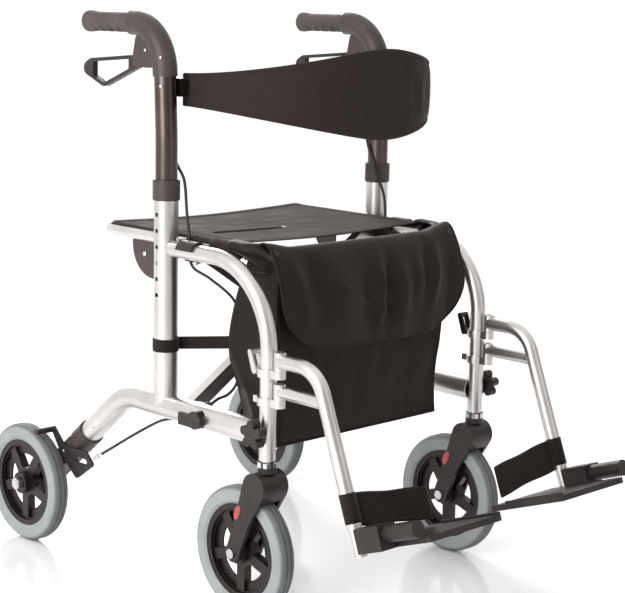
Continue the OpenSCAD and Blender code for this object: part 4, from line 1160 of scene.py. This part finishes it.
# Heel loops
FOOT_Y, FOOT_Z = -369.37, 178
HANGER_SLOPE = radians(21)
HANGER_R = 11
PLATE_REACH = 163
SLEEVE_FROM, SLEEVE_H, SLEEVE_CLEAR, SLEEVE_CLOTH = 21, 43, 0.3, 0.8
SLEEVE_ROWS, SLEEVE_COLUMNS, SLEEVE_WAVE = 9, 28, 0.15
LOOP_MID, LOOP_H, LOOP_BOW, LOOP_FALL, LOOP_AHEAD, LOOP_T = 39, 48, 5, 16, 9, 2.2
LOOP_ROWS, LOOP_COLUMNS = 41, 13
LOOP_SEAM, LOOP_TACKS = 0.86, (0.07, 0.93, 0.98)
THREAD_OUT, THREAD_SINK = LOOP_T * 0.55, 0.2


def heel_loop(side):
    """Wide webbing behind the heel, from a sleeve on the hanger to the inner end of the plate"""
    s = SIDES[side]
    up = Vector((0, sin(HANGER_SLOPE), cos(HANGER_SLOPE)))
    foot = Vector((FRAME_X, FOOT_Y, FOOT_Z))
    back = Vector((0, up.z, -up.y))
    sleeve = []
    for k in range(SLEEVE_ROWS):
        p = foot + up * (SLEEVE_FROM + SLEEVE_H * k / (SLEEVE_ROWS - 1))
        for i in range(SLEEVE_COLUMNS):
            a = 2 * pi * i / SLEEVE_COLUMNS
            r = HANGER_R + SLEEVE_CLEAR + SLEEVE_WAVE * ripple(i * 0.7, k * 0.6, s)
            sleeve.append(mirrored(s, p + r * (cos(a) * Vector(ALONG_X) + sin(a) * back)))
    wrap = thick_sheet("heel_sleeve_" + side, sleeve, SLEEVE_COLUMNS, "webbing", SLEEVE_CLOTH, s,
                       ring=True)
    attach(wrap, "footrest_" + side)
    outer_x, inner_x = FRAME_X - HANGER_R - 1, FRAME_X - PLATE_REACH + 8
    middle = foot + up * LOOP_MID

    def on_band(t, v, out):
        p = Vector((outer_x + (inner_x - outer_x) * t, middle.y - LOOP_AHEAD * t,
                    middle.z - LOOP_FALL * t))
        bow = LOOP_BOW * sin(pi * t) + 1.5 * v * sin(2 * pi * t)
        p += back * (bow + out) + up * (LOOP_H / 2 * v + 0.8 * sin(3 * pi * t) * v)
        return mirrored(s, p)

    ts, vs = np.linspace(0, 1, LOOP_ROWS), np.linspace(-1, 1, LOOP_COLUMNS)
    points = [on_band(t, v, 0.5 * (1 - abs(v) ** 8)) for t in ts for v in vs]
    loop = thick_sheet("heel_band_" + side, points, LOOP_COLUMNS, "webbing", LOOP_T)
    lines = {}
    for name, v in (("upper", LOOP_SEAM), ("lower", -LOOP_SEAM)):
        for face in (1, -1):
            out = face * THREAD_OUT + THREAD_SINK
            lines[f"stitch_{name}_{face + 1}"] = [on_band(t, v, out) for t in ts]
    for number, t in enumerate(LOOP_TACKS):
        lines[f"tack_{number}"] = [on_band(t, v, THREAD_SINK - THREAD_OUT)
                                   for v in np.linspace(-LOOP_SEAM, LOOP_SEAM, 12)]
    trim = [stitches(f"heel_{name}_{side}", line, "webbing") for name, line in lines.items()]
    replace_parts(loop, "heel_loop_" + side)
    for thing in [loop] + trim:
        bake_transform(thing)


# Rivets, screws, nuts and reflectors
def rivet_head(r, h):
    """Profile of a round rivet head"""
    turns = [k * pi / 12 for k in range(7)]
    return [(r, -0.4)] + [(r * cos(a) + 0.01, h * sin(a)) for a in turns]


def screw_head(r, h):
    """Profile of a screw head with a socket"""
    return [(r, -0.5), (r, h * 0.7), (r * 0.86, h), (r * 0.5, h), (r * 0.44, h / 2), (0.01, h / 2)]


PLUG = [(9.5, -3), (9.7, 0.2), (11.2, 0.4), (11.4, 1.6), (10.6, 2.8), (8, 3.6), (0.01, 4)]
BOLT = [(2.2, -1), (2.2, 1.5), (4.4, 1.6), (4.6, 2.2), (4.6, 5), (3.8, 5.8), (0.01, 6)]
NUT = [(15.4, 0), (16.6, 0.8), (16.6, 8.4), (15.4, 9.2)]
LENS = [(12.6, -0.4), (12.6, 0.5), (11.9, 1.2), (8, 1.8), (0.01, 2.1)]
LENS_Y, LENS_Z, LENS_SIDES, LENS_SQUEEZE = -144, 166, 28, 0.48
FORK_W = 50
FORK_LEAN = (0, -0.36, 0.93)
GUARD_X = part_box("seat_guard_left")[1].x / MM
OUT, FRONT, DOWN = (1, 0, 0), (0, -1, 0), (0, 0, -1)
ROUND, HEX = 24, 6
# Left fittings: name, place, axis, profile, slot, body and number of sides
FITTINGS = [
    ("housing_rivet_low", (249.3, 52.5, 829), OUT, rivet_head(2.8, 1.5), "steel", "handle_{}",
     ROUND),
    ("housing_rivet_high", (243.3, 97.6, 838.4), OUT, rivet_head(2.4, 1.3), "steel", "handle_{}",
     ROUND),
    ("handle_screw", (247.6, 52.6, 786), OUT, screw_head(3.2, 1.5), "steel", "handle_{}", ROUND),
    ("guard_rivet", (GUARD_X, 147, 514.8), OUT, rivet_head(4.2, 1.8), "steel", "seat", ROUND),
    ("seat_plug", (SEAT_X, SEAT_FRONT, SEAT_TUBE_Z), FRONT, PLUG, "black_plastic", "seat", ROUND),
    ("cradle_bolt", (FRAME_X, -15, TOP_RAIL_Z - LEG_R), DOWN, BOLT, "steel", "{}_frame", HEX),
    ("rail_screw", (251.6, 224.5, 221.9), OUT, screw_head(3.2, 1.2), "steel", "{}_frame", ROUND),
    ("brake_pin", (256.8, 298, 167), OUT, rivet_head(2.8, 1.2), "steel", "brake_{}", ROUND),
    ("stem_nut", (FRAME_X, LEG_Y, 240.2), ALONG_Z, NUT, "steel", "castor_{}", HEX),
]
SEAT_BODIES = {"right": "rear_brace", "left": "front_brace"}


def hardware(side):
    s = SIDES[side]
    for name, place, axis, profile, slot, body, sides in FITTINGS:
        shape = turned_mesh(profile, mirrored(s, place), (s * axis[0], *axis[1:]), sides)
        thing = in_slot(f"{name}_{side}", shape, slot, smooth=sides == ROUND)
        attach(thing, SEAT_BODIES[side] if body == "seat" else body.format(side))
    for name, way in (("outer", s), ("inner", -s)):
        at = spot(s * FRAME_X + way * FORK_W / 2, LENS_Y, LENS_Z)
        shape = turned_mesh(LENS, at, (way, 0, 0), LENS_SIDES, FORK_LEAN, LENS_SQUEEZE)
        lens = piece(f"reflector_{name}_{side}", shape, REFLECTOR)
        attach(lens, "castor_" + side)


# Webs of the rims
WEB_R, WEB_HALF_H, WEB_HALF_T = 57, 9.5, 2.2


def rim_webs(side):
    """Thin web round the inside of each rim, which leaves small windows between the spokes"""
    for end in ENDS:
        low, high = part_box(f"{end}_tyre_{side}")
        middle = (low + high) / 2
        ring = [middle + WEB_R * MM * Vector((0, cos(a), sin(a)))
                for a in circle(60)]
        shape = tube_mesh(ring, WEB_HALF_T * MM, 16, closed=True, up=ALONG_X, square=0.5,
                          flat=WEB_HALF_H / WEB_HALF_T)
        web = piece(f"rim_web_{end}_{side}", shape, RIM_LOOK)
        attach(web, f"{end}_wheel_{side}")


# Studio: sizes and places are metres
FLOOR_SIZE, FLOOR_DROP = 14, 0.0005
FLOOR_COLOURS = ((0.94, 0.94, 0.95, 1), (0.95, 0.95, 0.96, 1))


def make_floor():
    paint = Paint("floor", {"Specular IOR Level": 0.5})
    cloud = paint.grain(scale=0.8, detail=2)
    paint.colours(cloud, list(zip((CLOUD_LOW, CLOUD_HIGH), FLOOR_COLOURS)))
    paint.rough(cloud, 0.1, 0.14)
    h = FLOOR_SIZE
    points = [(x, y, cad_box[0][2] - FLOOR_DROP) for x, y in ((-h, -h), (h, -h), (h, h), (-h, h))]
    piece("floor", (points, [(0, 1, 2, 3)]), paint.material)


AIM = (0, 0, 0.5)


def make_light(name, at, size, power):
    data = bpy.data.lights.new(name, "AREA")
    data.shape = "RECTANGLE"
    data.size, data.size_y = size
    data.energy = power
    lamp = placed(name, data)
    lamp.location = at
    lamp.rotation_euler = (Vector(AIM) - Vector(at)).to_track_quat("-Z", "Y").to_euler()


WORLD_AIM = (-0.1, 0.62, 0.42)
WORLD_RANGE = (-0.55, 0.2, 0, 1)
WORLD_STOPS = [(0, (0.27, 0.265, 0.26, 1)), (1, (1.13, 1.115, 1.1, 1))]


def make_world():
    """White dome behind the object and overhead that turns grey towards the camera's right"""
    world = bpy.data.worlds.new("studio")
    world.use_nodes = True
    tree = world.node_tree
    place = new_node(tree, "ShaderNodeTexCoord", "Generated", {})
    along = new_node(tree, "ShaderNodeVectorMath", "Value", {0: place, 1: WORLD_AIM},
                     operation="DOT_PRODUCT")
    colour = ramped(tree, ranged(tree, along, *WORLD_RANGE), WORLD_STOPS)
    tree.links.new(colour, tree.nodes["Background"].inputs["Color"])
    scene.world = world


def make_studio():
    make_floor()
    make_world()
    scene.view_settings.view_transform = "Standard"
    make_light("key", (-2.7, -0.4, 1.5), (1.5, 2.2), 65)
    make_light("front", (0.7, -2.9, 1.3), (1.8, 2.2), 7)
    make_light("rim", (1.4, 2.6, 1.7), (1.2, 1.6), 45)


make_camera()
for side_name in SIDES:
    brake_cable(side_name)
paint_nodes()
seat()
backrest()
bag()
bag_flap()
for side_name in SIDES:
    heel_loop(side_name)
    bag_wing(side_name)
    hardware(side_name)
    rim_webs(side_name)
make_studio()
